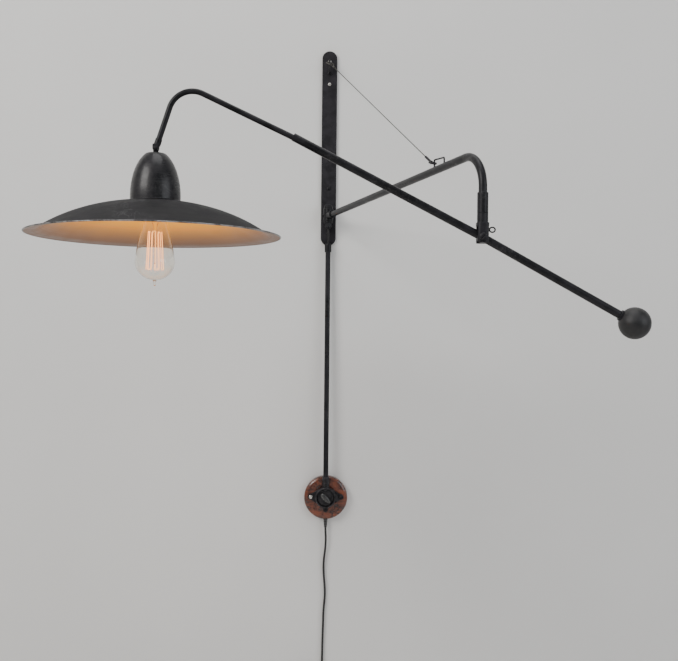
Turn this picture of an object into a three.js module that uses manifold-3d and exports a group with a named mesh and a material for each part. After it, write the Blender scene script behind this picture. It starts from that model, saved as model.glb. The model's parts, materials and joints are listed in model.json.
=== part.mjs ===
// Counterbalanced swing arm wall sconce.
// Millimetres, +Z up. The wall is the plane Y = 0 and the lamp stands out towards -Y.
// The origin is the centre of the wall plate's back face.
import * as THREE from 'three';
import { mergeVertices } from 'three/addons/utils/BufferGeometryUtils.js';
import Module from 'manifold-3d';

const wasm = await Module();
wasm.setup();

// ---------------------------------------------------------------- driving dimensions
const GAP = 0.3; // between pieces that touch

const PLATE = { width: 34, height: 444, thick: 6, screws: [198, 146, -92, -196], hole: 2.5 };

const SWING = { out: 22, z: -156.5, pin: 5.7, ear: 10, earTop: -140, earBottom: -173, earThick: 4 };

const BRACKET = {
  azimuth: THREE.MathUtils.degToRad(-68.9),
  reach: 688,
  cornerZ: -134.5,
  bend: 55,
  outer: 6.7,
  inner: 5.3,
  legEnd: -246,
};

const STAY = { topZ: 189, topX: 1.5, endX: 506.5, endZ: -119.9, wire: 0.9, crimp: 1.9 };
const STAPLE = { from: 523, to: 559, topZ: [-120.8, -122.7], wire: 1.4 };

const COLLAR = { outer: 8.6, top: -199.7, bottom: -232 };
const FORK = { top: -232.3, web: -246.4, bridge: -252.8, cheekIn: 8, cheekOut: 11.5, half: 10, toe: 7.4 };

const PIVOT_Z = -269.3; // arm pivot
const ARM = {
  outer: 6.35,
  inner: 5,
  hub: 9,
  hubHalf: 7.6,
  tubeStart: 5.4,
  front: [-294.5, 152.6], // mouth of the front tube, from the pivot
  ball: [237.3, -131.1], // ball centre, from the pivot
  ballRadius: 25,
};
const RING = { z: 11.6, radius: 3.6, wire: 0.95, x: 14.6 }; // ring bolt, from the pivot
const ROD = { outer: 4.5, inner: 3.3, corner: [-473.4, 236.2], bend: 37, insert: 26 };

const HANG = { x: -259.6, z: -136.6, pin: 1.6 }; // hanging pin, row frame

const CUP = { top: -144.8, bottom: -219.4, wide: 38.7, tall: 71.7, centre: -210.7, wall: 1.5 };
const SHADE = {
  crown: -218.1, sag: 0.001294, steepen: 1.05e-8, inner: 21, knee: 176, rim: 195, rimZ: -272, wall: 1.3,
};
const BULB = { cap: 13.2, wide: 30.7, glass: 0.8, neckZ: -219, wideZ: -312.5, bottomZ: -341, tipZ: -350 };

const CONDUIT = { outer: 5.75, inner: 4.2, topZ: -226, topY: -14, bottomZ: -757, bottomY: -27 };
const LEAD = 2.1;

const BASE = { z: -796, radius: 49, thick: 18 };
const SWITCH = { z: -793.5, rim: 23, recess: 19.5, front: -38, floor: -20.6, ear: 41, screw: 33.8, lug: 29 };

const CORD = { radius: 2.4, exitY: -9, exitZ: -864 };
// free run of the cord, hand laid: x and z, with y easing back to the wall
const CORD_RUN = [
  [0, -9, -864.3], [0.4, -9, -876], [1.1, -8.4, -888], [0.9, -7.4, -902], [0.2, -6.3, -915],
  [-1.6, -5.4, -928], [-3.0, -4.8, -940], [-3.6, -4.4, -954], [-3.4, -4.2, -968], [-2.2, -4.1, -982],
  [-0.9, -4.0, -995], [0, -4.0, -1009], [0.1, -4.0, -1022], [-1.0, -4.0, -1036], [-2.3, -4.0, -1050],
  [-3.0, -4.0, -1064], [-3.2, -4.0, -1077], [-3.5, -4.0, -1090], [-3.9, -4.0, -1102], [-4.3, -4.0, -1120],
  [-4.6, -4.0, -1138], [-4.8, -4.0, -1157], [-5.2, -4.1, -1176], [-5.7, -4.2, -1184.4],
];
const COIL = { x: -40.7, y: -6.8, z: -1222, inner: 17.4, outer: 37.6, half: 4.9 };
const PLUG = { x: -6, y: -9.2, top: -1258, width: 24, thick: 15, tall: 34 };

// ---------------------------------------------------------------- finishes
function finish(color, roughness, metalness) {
  return () => new THREE.MeshStandardMaterial({ color, roughness, metalness });
}
const BLACK_STEEL = finish(0x1b1a1d, 0.42, 0.8);
const PLATE_STEEL = finish(0x2b292d, 0.6, 0.6);
const NICKEL = finish(0xc9c6c0, 0.25, 1);
const WIRE_STEEL = finish(0x8a8782, 0.4, 0.9);
const BRASS = finish(0xb08d4a, 0.35, 1);
const SHADE_STEEL = finish(0x27262a, 0.5, 0.7);
const CAST_IRON = finish(0x2a292b, 0.55, 0.6);
const WOOD = finish(0x5a2417, 0.35, 0);
const PORCELAIN = finish(0xe6e0d4, 0.3, 0);
const BLACK_PLASTIC = finish(0x111112, 0.3, 0);
const CORD_CLOTH = finish(0x1d1b1b, 0.8, 0);
const GLASS = finish(0xf4ead8, 0.05, 0);
const FILAMENT = finish(0xff9a55, 0.5, 0.2);

// ---------------------------------------------------------------- making solids
const X = new THREE.Vector3(1, 0, 0);
const Y = new THREE.Vector3(0, 1, 0);
const Z = new THREE.Vector3(0, 0, 1);
const OUT = new THREE.Vector3(0, -1, 0); // away from the wall

/** A named mesh with its own material. */
function piece(name, geometry, makeMaterial) {
  const mesh = new THREE.Mesh(geometry, makeMaterial());
  mesh.name = name;
  return mesh;
}

/** A profile of [radius, height] turned about an axis; it closes on itself or ends on the axis. */
function turned(profile, sides = 16, axis = Z) {
  const points = profile.map(([radius, height]) => new THREE.Vector2(radius, height));
  const turn = new THREE.Quaternion().setFromUnitVectors(Y, axis);
  return new THREE.LatheGeometry(points, sides).applyQuaternion(turn);
}

function bar(radius, from, to) {
  return [[0, from], [radius, from], [radius, to], [0, to]];
}

function sleeve(inner, outer, from, to) {
  return [[outer, from], [outer, to], [inner, to], [inner, from], [outer, from]];
}

/** A bar or, with an inner radius, a tube between two points. */
function between(a, b, outer, inner = 0, sides = 12) {
  const start = new THREE.Vector3(...a);
  const along = new THREE.Vector3(...b).sub(start);
  const length = along.length();
  const profile = inner > 0 ? sleeve(inner, outer, 0, length) : bar(outer, 0, length);
  return turned(profile, sides, along.normalize()).translate(start.x, start.y, start.z);
}

function box(width, depth, height, x = 0, y = 0, z = 0) {
  return new THREE.BoxGeometry(width, depth, height).translate(x, y, z);
}

function toSolid(geometry) {
  const bare = geometry.clone();
  bare.deleteAttribute('normal');
  bare.deleteAttribute('uv');
  const merged = mergeVertices(bare, 1e-4);
  const index = merged.index.array;
  const triangles = [];
  for (let i = 0; i < index.length; i += 3) {
    const [a, b, c] = [index[i], index[i + 1], index[i + 2]];
    if (a !== b && b !== c && c !== a) triangles.push(a, b, c);
  }
  const mesh = new wasm.Mesh({
    numProp: 3,
    vertProperties: new Float32Array(merged.attributes.position.array),
    triVerts: new Uint32Array(triangles),
  });
  mesh.merge();
  return new wasm.Manifold(mesh);
}

function fromSolid(solid) {
  const mesh = solid.getMesh();
  const geometry = new THREE.BufferGeometry();
  geometry.setAttribute('position', new THREE.BufferAttribute(new Float32Array(mesh.vertProperties), 3));
  geometry.setIndex(new THREE.BufferAttribute(new Uint32Array(mesh.triVerts), 1));
  geometry.computeVertexNormals();
  return geometry;
}

/** The sum of the first list of geometries less every one of the second. */
function carved(added, removed = []) {
  let solid = toSolid(added[0]);
  for (const other of added.slice(1)) solid = solid.add(toSolid(other));
  for (const other of removed) solid = solid.subtract(toSolid(other));
  return fromSolid(solid);
}

/** A path of straight runs and round bends, with stations only where it turns. */
class BentPath extends THREE.Curve {
  constructor(corners, bendRadius, bendSteps = 8) {
    super();
    const points = corners.map((corner) => new THREE.Vector3(...corner));
    this.stations = [points[0]];
    for (let i = 1; i < points.length - 1; i++) {
      const before = points[i - 1].clone().sub(points[i]).normalize();
      const after = points[i + 1].clone().sub(points[i]).normalize();
      const half = before.angleTo(after) / 2;
      const centre = before.clone().add(after).normalize().multiplyScalar(bendRadius / Math.sin(half));
      const arm = before.clone().multiplyScalar(bendRadius / Math.tan(half)).sub(centre);
      const axis = new THREE.Vector3().crossVectors(after, before).normalize();
      for (let step = 0; step <= bendSteps; step++) {
        const turn = (step / bendSteps) * (Math.PI - 2 * half);
        this.stations.push(arm.clone().applyAxisAngle(axis, turn).add(centre).add(points[i]));
      }
    }
    this.stations.push(points[points.length - 1]);
  }

  get steps() {
    return this.stations.length - 1;
  }

  getUtoTmapping(u) {
    return u;
  }

  getPoint(t, target = new THREE.Vector3()) {
    const place = Math.min(Math.max(t, 0), 1) * this.steps;
    const index = Math.min(Math.floor(place), this.steps - 1);
    return target.lerpVectors(this.stations[index], this.stations[index + 1], place - index);
  }
}

/** A round section carried along a path; an arc of a shape has two sides for each curve segment. */
function swept(path, steps, outer, inner = 0, sides = 12) {
  const section = new THREE.Shape().absarc(0, 0, outer, 0, 2 * Math.PI);
  if (inner > 0) section.holes.push(new THREE.Path().absarc(0, 0, inner, 0, 2 * Math.PI, true));
  return new THREE.ExtrudeGeometry(section, {
    steps,
    extrudePath: path,
    bevelEnabled: false,
    curveSegments: sides / 2,
  });
}

function bent(corners, bendRadius, outer, inner = 0, sides = 12, bendSteps = 8) {
  const path = new BentPath(corners, bendRadius, bendSteps);
  return swept(path, path.steps, outer, inner, sides);
}

/** A pan-headed screw along an axis: head radius, shank radius, head height, shank length. */
function screw(head, shank, rise, length, axis) {
  const profile = [[0, -length], [shank, -length], [shank, 0], [head, 0], [head, rise * 0.5]];
  profile.push([head * 0.62, rise], [0, rise]);
  return turned(profile, 12, axis);
}

/** A flat outline in X and Z, thickened from y = near towards the wall at y = far. */
function plateOutline(shape, near, far, segments = 8) {
  const geometry = new THREE.ExtrudeGeometry(shape, {
    depth: Math.abs(far - near),
    bevelEnabled: false,
    curveSegments: segments,
  });
  return geometry.rotateX(Math.PI / 2).translate(0, Math.max(near, far), 0);
}

// ---------------------------------------------------------------- wall side
function wallPlate() {
  const half = PLATE.width / 2;
  const end = PLATE.height / 2 - half;
  const outline = new THREE.Shape();
  outline.moveTo(-half, -end);
  outline.absarc(0, -end, half, Math.PI, 2 * Math.PI);
  outline.lineTo(half, end);
  outline.absarc(0, end, half, 0, Math.PI);
  outline.closePath();
  for (const z of PLATE.screws) {
    outline.holes.push(new THREE.Path().absarc(0, z, PLATE.hole, 0, 2 * Math.PI, true));
  }
  return piece('wall_plate', plateOutline(outline, -PLATE.thick, 0, 8), PLATE_STEEL);
}

function plateScrews() {
  return PLATE.screws.map((z, i) => {
    const geometry = screw(4.2, 2.1, 2.2, PLATE.thick, OUT).translate(0, -PLATE.thick - GAP, z);
    return piece(`plate_screw_${i + 1}`, geometry, NICKEL);
  });
}

/** The rod that stands out from the plate and turns up, for the stay to hang on. */
function stayHook() {
  const foot = -PLATE.thick - GAP;
  const path = [[0, foot, 171], [0, -SWING.out, 171], [0, -SWING.out, 199]];
  return piece('stay_hook', bent(path, 6, 2.2, 0, 10, 5), BLACK_STEEL);
}

function pivotBracket() {
  const { ear, earTop, earBottom, earThick, out, pin } = SWING;
  const back = -PLATE.thick - GAP;
  const backDepth = 3;
  const ears = [earTop, earBottom].map((z) => [
    turned(bar(ear, z, z + earThick), 20).translate(0, -out, 0),
    box(2 * ear, out + back, earThick, 0, (back - out) / 2, z + earThick / 2),
  ]);
  const tall = earTop + earThick - earBottom;
  const spine = box(2 * ear, backDepth, tall, 0, back - backDepth / 2, earBottom + tall / 2);
  const bore = turned(bar(pin + GAP, earBottom - 5, earTop + 9), 16).translate(0, -out, 0);
  return piece('pivot_bracket', carved([spine, ...ears.flat()], [bore]), BLACK_STEEL);
}

function pivotPin() {
  const { pin, earTop, earThick, earBottom, out } = SWING;
  const seat = earTop + earThick + GAP;
  const profile = [
    [3.2, earBottom - 12], [pin, earBottom - 12], [pin, seat], [9, seat], [9, seat + 3],
    [6, seat + 4.5], [0, seat + 4.5], [0, earTop - 9], [3.2, earTop - 9], [3.2, earBottom - 12],
  ];
  return piece('pivot_pin', turned(profile, 16).translate(0, -out, 0), BLACK_STEEL);
}

function pivotNut() {
  const top = SWING.earBottom - GAP;
  const hexagon = turned(bar(8.8, top - 7, top), 6);
  const neck = turned(bar(7.4, top - 10, top - 5), 16);
  const bore = turned(bar(SWING.pin + GAP, top - 12, top + 2), 16);
  return piece('pivot_nut', carved([hexagon, neck], [bore]).translate(0, -SWING.out, 0), BLACK_STEEL);
}

/** The lead from the hollow pin, through ferrule and conduit, to the switch. */
function supplyLead() {
  const points = [
    [0, -22, -155], [0, -22, -168], [0, -22, -181], [0.3, -21.3, -190], [1.0, -19.6, -198],
    [0.9, -17.4, -206.5], [0.2, -15.2, -215], [0, -14.2, -224], [0, -14.4, -236],
  ];
  const start = new THREE.Vector3(0, -14.4, -236);
  const end = new THREE.Vector3(0, -26.9, -768);
  const runs = 10;
  for (let i = 1; i <= runs; i++) {
    const at = start.clone().lerp(end, i / runs);
    points.push([at.x, at.y, at.z]);
  }
  const path = new BentPath([points[0], points[points.length - 1]], 1);
  path.stations = points.map((point) => new THREE.Vector3(...point));
  return piece('supply_lead', swept(path, path.steps, LEAD, 0, 8), CORD_CLOTH);
}

function conduitDirection() {
  return new THREE.Vector3(0, CONDUIT.topY - CONDUIT.bottomY, CONDUIT.topZ - CONDUIT.bottomZ).normalize();
}

function conduitFerrule() {
  const fit = CONDUIT.outer + GAP;
  const profile = [
    [fit, -12], [7.6, -12], [7.6, 5], [6.4, 8], [3.4, 8], [3.4, GAP], [fit, GAP], [fit, -12],
  ];
  const geometry = turned(profile, 16, conduitDirection());
  return piece('conduit_ferrule', geometry.translate(0, CONDUIT.topY, CONDUIT.topZ), BLACK_STEEL);
}

function conduitTube() {
  const top = [0, CONDUIT.topY, CONDUIT.topZ];
  const bottom = [0, CONDUIT.bottomY, CONDUIT.bottomZ];
  return piece('conduit_tube', between(bottom, top, CONDUIT.outer, CONDUIT.inner, 14), BLACK_STEEL);
}

function switchScrewPlaces() {
  const { screw: side, lug, z } = SWITCH;
  return {
    ear_screw_left: [-side, z],
    ear_screw_right: [side, z],
    lug_screw_top: [0, z + lug],
    lug_screw_bottom: [0, z - lug],
  };
}

function woodBase() {
  const { radius, thick, z } = BASE;
  const profile = [
    [0, 0], [radius, 0], [radius, thick - 5], [radius - 1.5, thick - 1.6], [radius - 5, thick], [0, thick],
  ];
  const disc = turned(profile, 32, OUT).translate(0, 0, z);
  const wireHole = turned(bar(7, -1, thick + 1), 14, OUT).translate(0, 0, z);
  const cordHole = between([0, CORD.exitY, z - radius - 5], [0, CORD.exitY, z], 4.4);
  const pilots = Object.values(switchScrewPlaces()).map(([x, at]) =>
    turned(bar(2.1, thick - 9, thick + 1), 10, OUT).translate(x, 0, at));
  return piece('wood_base', carved([disc], [wireHole, cordHole, ...pilots]), WOOD);
}

function switchHousing() {
  const { z, rim, recess, front, floor, ear, lug } = SWITCH;
  const back = -BASE.thick - GAP;
  const flange = back - 6;
  const ears = new THREE.Shape();
  const touch = [rim * (rim / ear), rim * Math.sqrt(1 - (rim / ear) ** 2)]; // where a side meets the drum
  ears.moveTo(-ear, 1.2);
  ears.lineTo(-touch[0], touch[1]);
  ears.lineTo(touch[0], touch[1]);
  ears.lineTo(ear, 1.2);
  ears.lineTo(ear, -1.2);
  ears.lineTo(touch[0], -touch[1]);
  ears.lineTo(-touch[0], -touch[1]);
  ears.lineTo(-ear, -1.2);
  const earPads = [-1, 1].map((side) =>
    turned(bar(6.4, -back, -flange), 14, OUT).translate(side * SWITCH.screw, 0, z));
  const lugs = [-1, 1].flatMap((side) => [
    turned(bar(5.6, -back, -flange), 14, OUT).translate(0, 0, z + side * lug),
    box(11.2, back - flange, lug, 0, (back + flange) / 2, z + (side * lug) / 2),
  ]);
  const drum = [[0, -back], [rim, -back], [rim, -front - 1.5], [rim - 1.5, -front], [0, -front]];
  const shell = turned(drum, 24, OUT).translate(0, 0, z);
  const socketTop = new THREE.Vector3(0, CONDUIT.bottomY, -746.6);
  const socket = between([0, CONDUIT.bottomY, z + 15], socketTop.toArray(), 8.2, 0, 16);
  const socketFoot = [0, CONDUIT.bottomY - 0.2, z + 8];
  const socketBore = between(socketFoot, [0, CONDUIT.bottomY + 0.3, -740], CONDUIT.outer + 0.45, 0, 14);
  const well = turned(bar(recess, -floor, -front + 2), 24, OUT).translate(0, 0, z);
  const holes = Object.values(switchScrewPlaces()).map(([x, at]) =>
    turned(bar(2.3, at > z ? -CONDUIT.bottomY : 0, -flange + 12), 10, OUT).translate(x, 0, at));
  const flat = plateOutline(ears, flange, back).translate(0, 0, z);
  const geometry = carved([shell, flat, ...earPads, ...lugs, socket], [well, socketBore, ...holes]);
  return piece('switch_housing', geometry, CAST_IRON);
}

/** Three screws hold the housing to the base; the top one clamps the conduit's socket. */
function switchScrews() {
  const seat = -BASE.thick - GAP - 6 - GAP;
  const socketSeat = CONDUIT.bottomY - 8.2 - GAP;
  return Object.entries(switchScrewPlaces()).map(([name, [x, z]]) => {
    const onSocket = name === 'lug_screw_top';
    const made = screw(4.1, 1.8, 2.4, onSocket ? 4 : 13, OUT);
    const geometry = made.translate(x, onSocket ? socketSeat : seat, z);
    return piece(name, geometry, name === 'ear_screw_left' ? NICKEL : BLACK_STEEL);
  });
}

function switchWorks() {
  const { z } = SWITCH;
  const insulator = turned([[18.4, 20.9], [18.4, 24.4], [6, 24.4], [6, 20.9], [18.4, 20.9]], 20, OUT);
  const dial = turned([[19, 30.5], [19, 32.6], [17.4, 33.4], [4.6, 33.4], [4.6, 30.5], [19, 30.5]], 24, OUT);
  return [
    piece('switch_insulator', insulator.translate(0, 0, z), PORCELAIN),
    piece('switch_dial', dial.translate(0, 0, z), CAST_IRON),
  ];
}

/** The oval turn key with its stem through the dial. */
function switchKnob() {
  const grip = new THREE.Shape();
  grip.absellipse(0, 0, 14.5, 6.4, 0, 2 * Math.PI, false, 0);
  const key = plateOutline(grip, -43, -34, 6);
  const crown = new THREE.Shape();
  crown.absellipse(0, 0, 12.6, 4.4, 0, 2 * Math.PI, false, 0);
  const cap = plateOutline(crown, -44.6, -42, 6);
  const stem = turned(bar(4, 25, 35), 12, OUT);
  const geometry = carved([key, cap, stem]).rotateY(Math.PI / 4);
  return piece('switch_knob', geometry.translate(0, 0, SWITCH.z), BLACK_PLASTIC);
}

// ---------------------------------------------------------------- the free cord
function cordBushing() {
  const bore = CORD.radius + GAP;
  const bottom = CORD.exitZ;
  const edge = BASE.z - BASE.radius;
  const profile = [
    [bore, bottom], [3.4, bottom], [4.9, edge - 2], [4.9, edge - GAP], [4, edge - GAP], [4, edge + 9],
    [bore, edge + 9], [bore, bottom],
  ];
  return piece('cord_bushing', turned(profile, 12).translate(0, CORD.exitY, 0), BLACK_PLASTIC);
}

function cordRun() {
  const path = new BentPath([CORD_RUN[0], CORD_RUN[CORD_RUN.length - 1]], 1);
  path.stations = CORD_RUN.map((point) => new THREE.Vector3(...point));
  return piece('cord_run', swept(path, path.steps, CORD.radius, 0, 8), CORD_CLOTH);
}

function cordCoil() {
  const { inner, outer, half, x, y, z } = COIL;
  return piece('cord_coil', turned(sleeve(inner, outer, -half, half), 24, Y).translate(x, y, z), CORD_CLOTH);
}

function cordTie() {
  const { inner, outer, half, x, y, z } = COIL;
  const bow = 1; // the ring's curve inside the tie
  const wide = outer - inner + 2 * GAP + bow;
  const deep = 2 * half + 2 * GAP;
  const band = box(wide + 2.6, deep + 2.4, 9);
  const hole = box(wide, deep, 12);
  const at = x - (inner + outer - bow) / 2;
  return piece('cord_tie', carved([band], [hole]).translate(at, y, z), BLACK_PLASTIC);
}

function plug() {
  const { x, y, top, width, thick, tall } = PLUG;
  const body = new THREE.Shape();
  body.moveTo(-width / 2, -tall);
  body.lineTo(width / 2, -tall);
  body.lineTo(width / 2, -10);
  body.quadraticCurveTo(width / 2, -2, 5, 0);
  body.lineTo(-5, 0);
  body.quadraticCurveTo(-width / 2, -2, -width / 2, -10);
  const shell = plateOutline(body, -thick / 2, thick / 2, 6);
  const relief = between([0, 0, -4], [0, 0, 12], 4.6);
  const entry = between([0, 0, 2], [0, 0, 20], CORD.radius + GAP);
  const slots = [-1, 1].map((side) => box(2.2, 7, 12, side * 6.35, 0, -tall + 4));
  const solid = carved([shell, relief], [entry, ...slots]);
  const parts = [piece('plug_body', solid.translate(x, y, top), BLACK_PLASTIC)];
  for (const [name, side] of [['plug_blade_left', -1], ['plug_blade_right', 1]]) {
    const blade = box(1.5, 6.3, 24, side * 6.35, 0, -tall - 4.5);
    parts.push(piece(name, blade.translate(x, y, top), BRASS));
  }
  return parts;
}

// ---------------------------------------------------------------- bracket, in its own group
// Local X runs outward from the swing axis and local Z is the row's Z.
function bracketKnuckle() {
  const { pin, earTop, earBottom, earThick, z } = SWING;
  const rise = Math.atan2(BRACKET.cornerZ - z, BRACKET.reach);
  const barrel = turned(bar(11.3, earBottom + earThick + 0.4, earTop - 0.4), 20);
  const stub = between([0, 0, z], [30 * Math.cos(rise), 0, z + 30 * Math.sin(rise)], 9, 0, 16);
  const bore = turned(bar(pin + GAP, earBottom, earTop + 8), 16);
  const onAxis = (x) => [x, 0, z + x * Math.tan(rise)];
  const socket = between(onAxis(13), onAxis(40), BRACKET.outer + GAP, 0, 14);
  const wireWay = between([0, 0, z], onAxis(20), 3);
  const tap = turned(bar(2.6, 0, 14), 10, setScrewDirection()).translate(0, 0, z);
  return piece('bracket_knuckle', carved([barrel, stub], [bore, socket, wireWay, tap]), BLACK_STEEL);
}

/** The set screw points to the row's left, whatever way the bracket stands. */
function setScrewDirection() {
  return new THREE.Vector3(-1, 0, 0).applyAxisAngle(Z, -BRACKET.azimuth);
}

function knuckleSetScrew() {
  const profile = [[0, 6.6], [2.2, 6.6], [2.2, 11.6], [3.4, 11.6], [3.4, 14], [2.4, 14.9], [0, 14.9]];
  const geometry = turned(profile, 12, setScrewDirection()).translate(0, 0, SWING.z);
  return piece('knuckle_set_screw', geometry, NICKEL);
}

function bracketTube() {
  const { reach, cornerZ, bend, outer, inner, legEnd } = BRACKET;
  const slope = (cornerZ - SWING.z) / reach;
  const path = [[13.6, 0, SWING.z + 13.6 * slope], [reach, 0, cornerZ], [reach, 0, legEnd]];
  return piece('bracket_tube', bent(path, bend, outer, inner, 14, 10), BLACK_STEEL);
}

function stayStaple() {
  const slope = (BRACKET.cornerZ - SWING.z) / BRACKET.reach;
  const foot = (x) => SWING.z + x * slope + BRACKET.outer + GAP;
  const { from, to, topZ, wire } = STAPLE;
  const path = [[from, 0, foot(from)], [from, 0, topZ[0]], [to, 0, topZ[1]], [to, 0, foot(to)]];
  return piece('stay_staple', bent(path, 2.4, wire, 0, 8, 4), BLACK_STEEL);
}

function staySlope() {
  return Math.atan2(STAY.topZ - STAY.endZ, STAY.endX - STAY.topX);
}

/** A point on the stay's line, a distance along it from its top. */
function stayPoint(distance) {
  const slope = staySlope();
  return [STAY.topX + distance * Math.cos(slope), 0, STAY.topZ - distance * Math.sin(slope)];
}

function stayPieces() {
  const slope = staySlope();
  const length = Math.hypot(STAY.endX - STAY.topX, STAY.topZ - STAY.endZ);
  const thimble = new THREE.TorusGeometry(7.6, 1.4, 8, 16).rotateY(slope);
  const upperCrimp = [24, 34];
  const lowerCrimp = [length - 11, length];
  const hook = new THREE.TorusGeometry(9, 1, 6, 16).scale(1, 0.6, 1).rotateY(0.26);
  const crimpPlaces = { stay_crimp_upper: upperCrimp, stay_crimp_lower: lowerCrimp };
  const crimps = Object.entries(crimpPlaces).map(([name, [from, to]]) => {
    const tube = between(stayPoint(from), stayPoint(to), STAY.crimp, STAY.wire + GAP, 10);
    return piece(name, tube, NICKEL);
  });
  return [
    piece('stay_thimble', thimble.translate(STAY.topX, 0, STAY.topZ), WIRE_STEEL),
    piece('stay_wire', between(stayPoint(9.4), stayPoint(length - 0.4), STAY.wire, 0, 6), WIRE_STEEL),
    ...crimps,
    piece('stay_snap_hook', hook.translate(517.2, 0, -124.6), WIRE_STEEL),
  ];
}

function legPieces() {
  const fit = BRACKET.outer + GAP;
  const { outer, top, bottom } = COLLAR;
  const collar = [
    [outer, bottom], [outer, top - 0.8], [outer - 0.8, top], [fit, top], [fit, bottom], [outer, bottom],
  ];
  const spindle = [
    [0, FORK.bridge - 2.8], [4.4, FORK.bridge - 2.8], [4.4, FORK.bridge - GAP], [2.3, FORK.bridge - GAP],
    [2.3, BRACKET.legEnd + 1], [4.9, BRACKET.legEnd + 1], [4.9, BRACKET.legEnd + 13],
    [0, BRACKET.legEnd + 13],
  ];
  return [
    piece('leg_collar', turned(collar, 18).translate(BRACKET.reach, 0, 0), BLACK_STEEL),
    piece('swivel_spindle', turned(spindle, 12).translate(BRACKET.reach, 0, 0), BLACK_STEEL),
  ];
}

// ---------------------------------------------------------------- swivel, about the leg's axis
function swivelFork() {
  const { top, web, bridge, cheekIn, cheekOut, half, toe } = FORK;
  const topZ = top - PIVOT_Z;
  const webZ = web - PIVOT_Z;
  const bridgeZ = bridge - PIVOT_Z;
  const socket = turned(bar(COLLAR.outer, bridgeZ, topZ), 18);
  const yoke = box(17, 2 * cheekOut, 6, 0, 0, bridgeZ + 3);
  const boss = box(3.5, 9, 10, 8.2, 0, bridgeZ - 4.2);
  const cheekTall = bridgeZ + 3 + toe;
  const cheeks = [-1, 1].map((side) =>
    box(2 * half, cheekOut - cheekIn, cheekTall, 0, (side * (cheekIn + cheekOut)) / 2, cheekTall / 2 - toe));
  const legBore = turned(bar(BRACKET.outer + 0.35, webZ, topZ + 5), 16);
  const spindleBore = turned(bar(2.7, bridgeZ - 1, webZ + 1), 12);
  const boltBore = turned(bar(3.3, -20, 20), 12, Y);
  const ringBore = turned(bar(2.1, 7, 14), 10, X).translate(0, 0, RING.z);
  return carved([socket, yoke, boss, ...cheeks], [legBore, spindleBore, boltBore, ringBore]);
}

function ringBolt() {
  const ring = new THREE.TorusGeometry(RING.radius, RING.wire, 8, 16).rotateX(Math.PI / 2);
  const shank = turned(bar(1.75, 7.6 - RING.x, -RING.radius + 0.5), 10, X);
  return carved([ring, shank]).translate(RING.x, 0, RING.z);
}

function pivotBolt() {
  const reach = FORK.cheekOut + GAP;
  const profile = [
    [0, -reach - 5.6], [3, -reach - 5.6], [3, reach], [6, reach], [6, reach + 1.6], [4.6, reach + 3.4],
    [0, reach + 3.8],
  ];
  return turned(profile, 12, OUT);
}

function pivotBoltNut() {
  const near = FORK.cheekOut + GAP;
  return carved([turned(bar(6, near, near + 4.4), 6, Y)], [turned(bar(3.35, near - 2, near + 6), 12, Y)]);
}

// ---------------------------------------------------------------- arm, about the pivot bolt
function unit([x, z]) {
  return new THREE.Vector3(x, 0, z).normalize();
}

function armHub() {
  const { hub, hubHalf, tubeStart, outer } = ARM;
  const barrel = turned(bar(hub, -hubHalf, hubHalf), 20, Y);
  const sockets = [ARM.front, ARM.ball].map((end) =>
    turned(bar(outer + GAP, tubeStart - GAP, 16), 14, unit(end)));
  const bore = turned(bar(3.35, -12, 12), 12, Y);
  return piece('arm_hub', carved([barrel], [...sockets, bore]), BLACK_STEEL);
}

function armTubes() {
  const { tubeStart, outer, inner, ballRadius } = ARM;
  const frontEnd = new THREE.Vector3(ARM.front[0], 0, ARM.front[1]);
  const rearLength = Math.hypot(...ARM.ball) - ballRadius + 9;
  const start = (end) => unit(end).multiplyScalar(tubeStart).toArray();
  const rearEnd = unit(ARM.ball).multiplyScalar(rearLength);
  return [
    piece('arm_tube_front', between(start(ARM.front), frontEnd.toArray(), outer, inner, 14), BLACK_STEEL),
    piece('arm_tube_rear', between(start(ARM.ball), rearEnd.toArray(), outer, inner, 14), BLACK_STEEL),
  ];
}

function tipEnd() {
  return [HANG.x - LEG_AXIS.x, HANG.z - PIVOT_Z];
}

/** The direction from the hanging pin up the rod's last leg. */
function tipDirection() {
  const [x, z] = tipEnd();
  return unit([ROD.corner[0] - x, ROD.corner[1] - z]);
}

function extensionRod() {
  const mouth = new THREE.Vector3(ARM.front[0], 0, ARM.front[1]);
  const inside = mouth.clone().addScaledVector(unit(ARM.front), -ROD.insert);
  const bendAt = mouth.clone().addScaledVector(unit(ARM.front), 3);
  const [x, z] = tipEnd();
  const end = new THREE.Vector3(x, 0, z).addScaledVector(tipDirection(), 7);
  const corner = [ROD.corner[0], 0, ROD.corner[1]];
  const path = new BentPath([bendAt.toArray(), corner, end.toArray()], ROD.bend, 10);
  path.stations.unshift(inside);
  return piece('extension_rod', swept(path, path.steps, ROD.outer, ROD.inner, 12), BLACK_STEEL);
}

function counterweightBall() {
  const radius = ARM.ballRadius;
  const bore = ARM.outer + GAP;
  const mouth = Math.sqrt(radius * radius - bore * bore);
  const profile = [];
  const steps = 10;
  const from = Math.asin(bore / radius);
  for (let i = 0; i <= steps; i++) {
    const angle = Math.PI - (i / steps) * (Math.PI - from);
    profile.push([i === 0 ? 0 : radius * Math.sin(angle), i === 0 ? -radius : radius * Math.cos(angle)]);
  }
  profile.push([bore, mouth - 10], [0, mouth - 10]);
  const towardsPivot = unit(ARM.ball).negate();
  const centre = new THREE.Vector3(ARM.ball[0], 0, ARM.ball[1]);
  const geometry = turned(profile, 20, towardsPivot).translate(centre.x, centre.y, centre.z);
  return piece('counterweight_ball', geometry, BLACK_STEEL);
}

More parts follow.
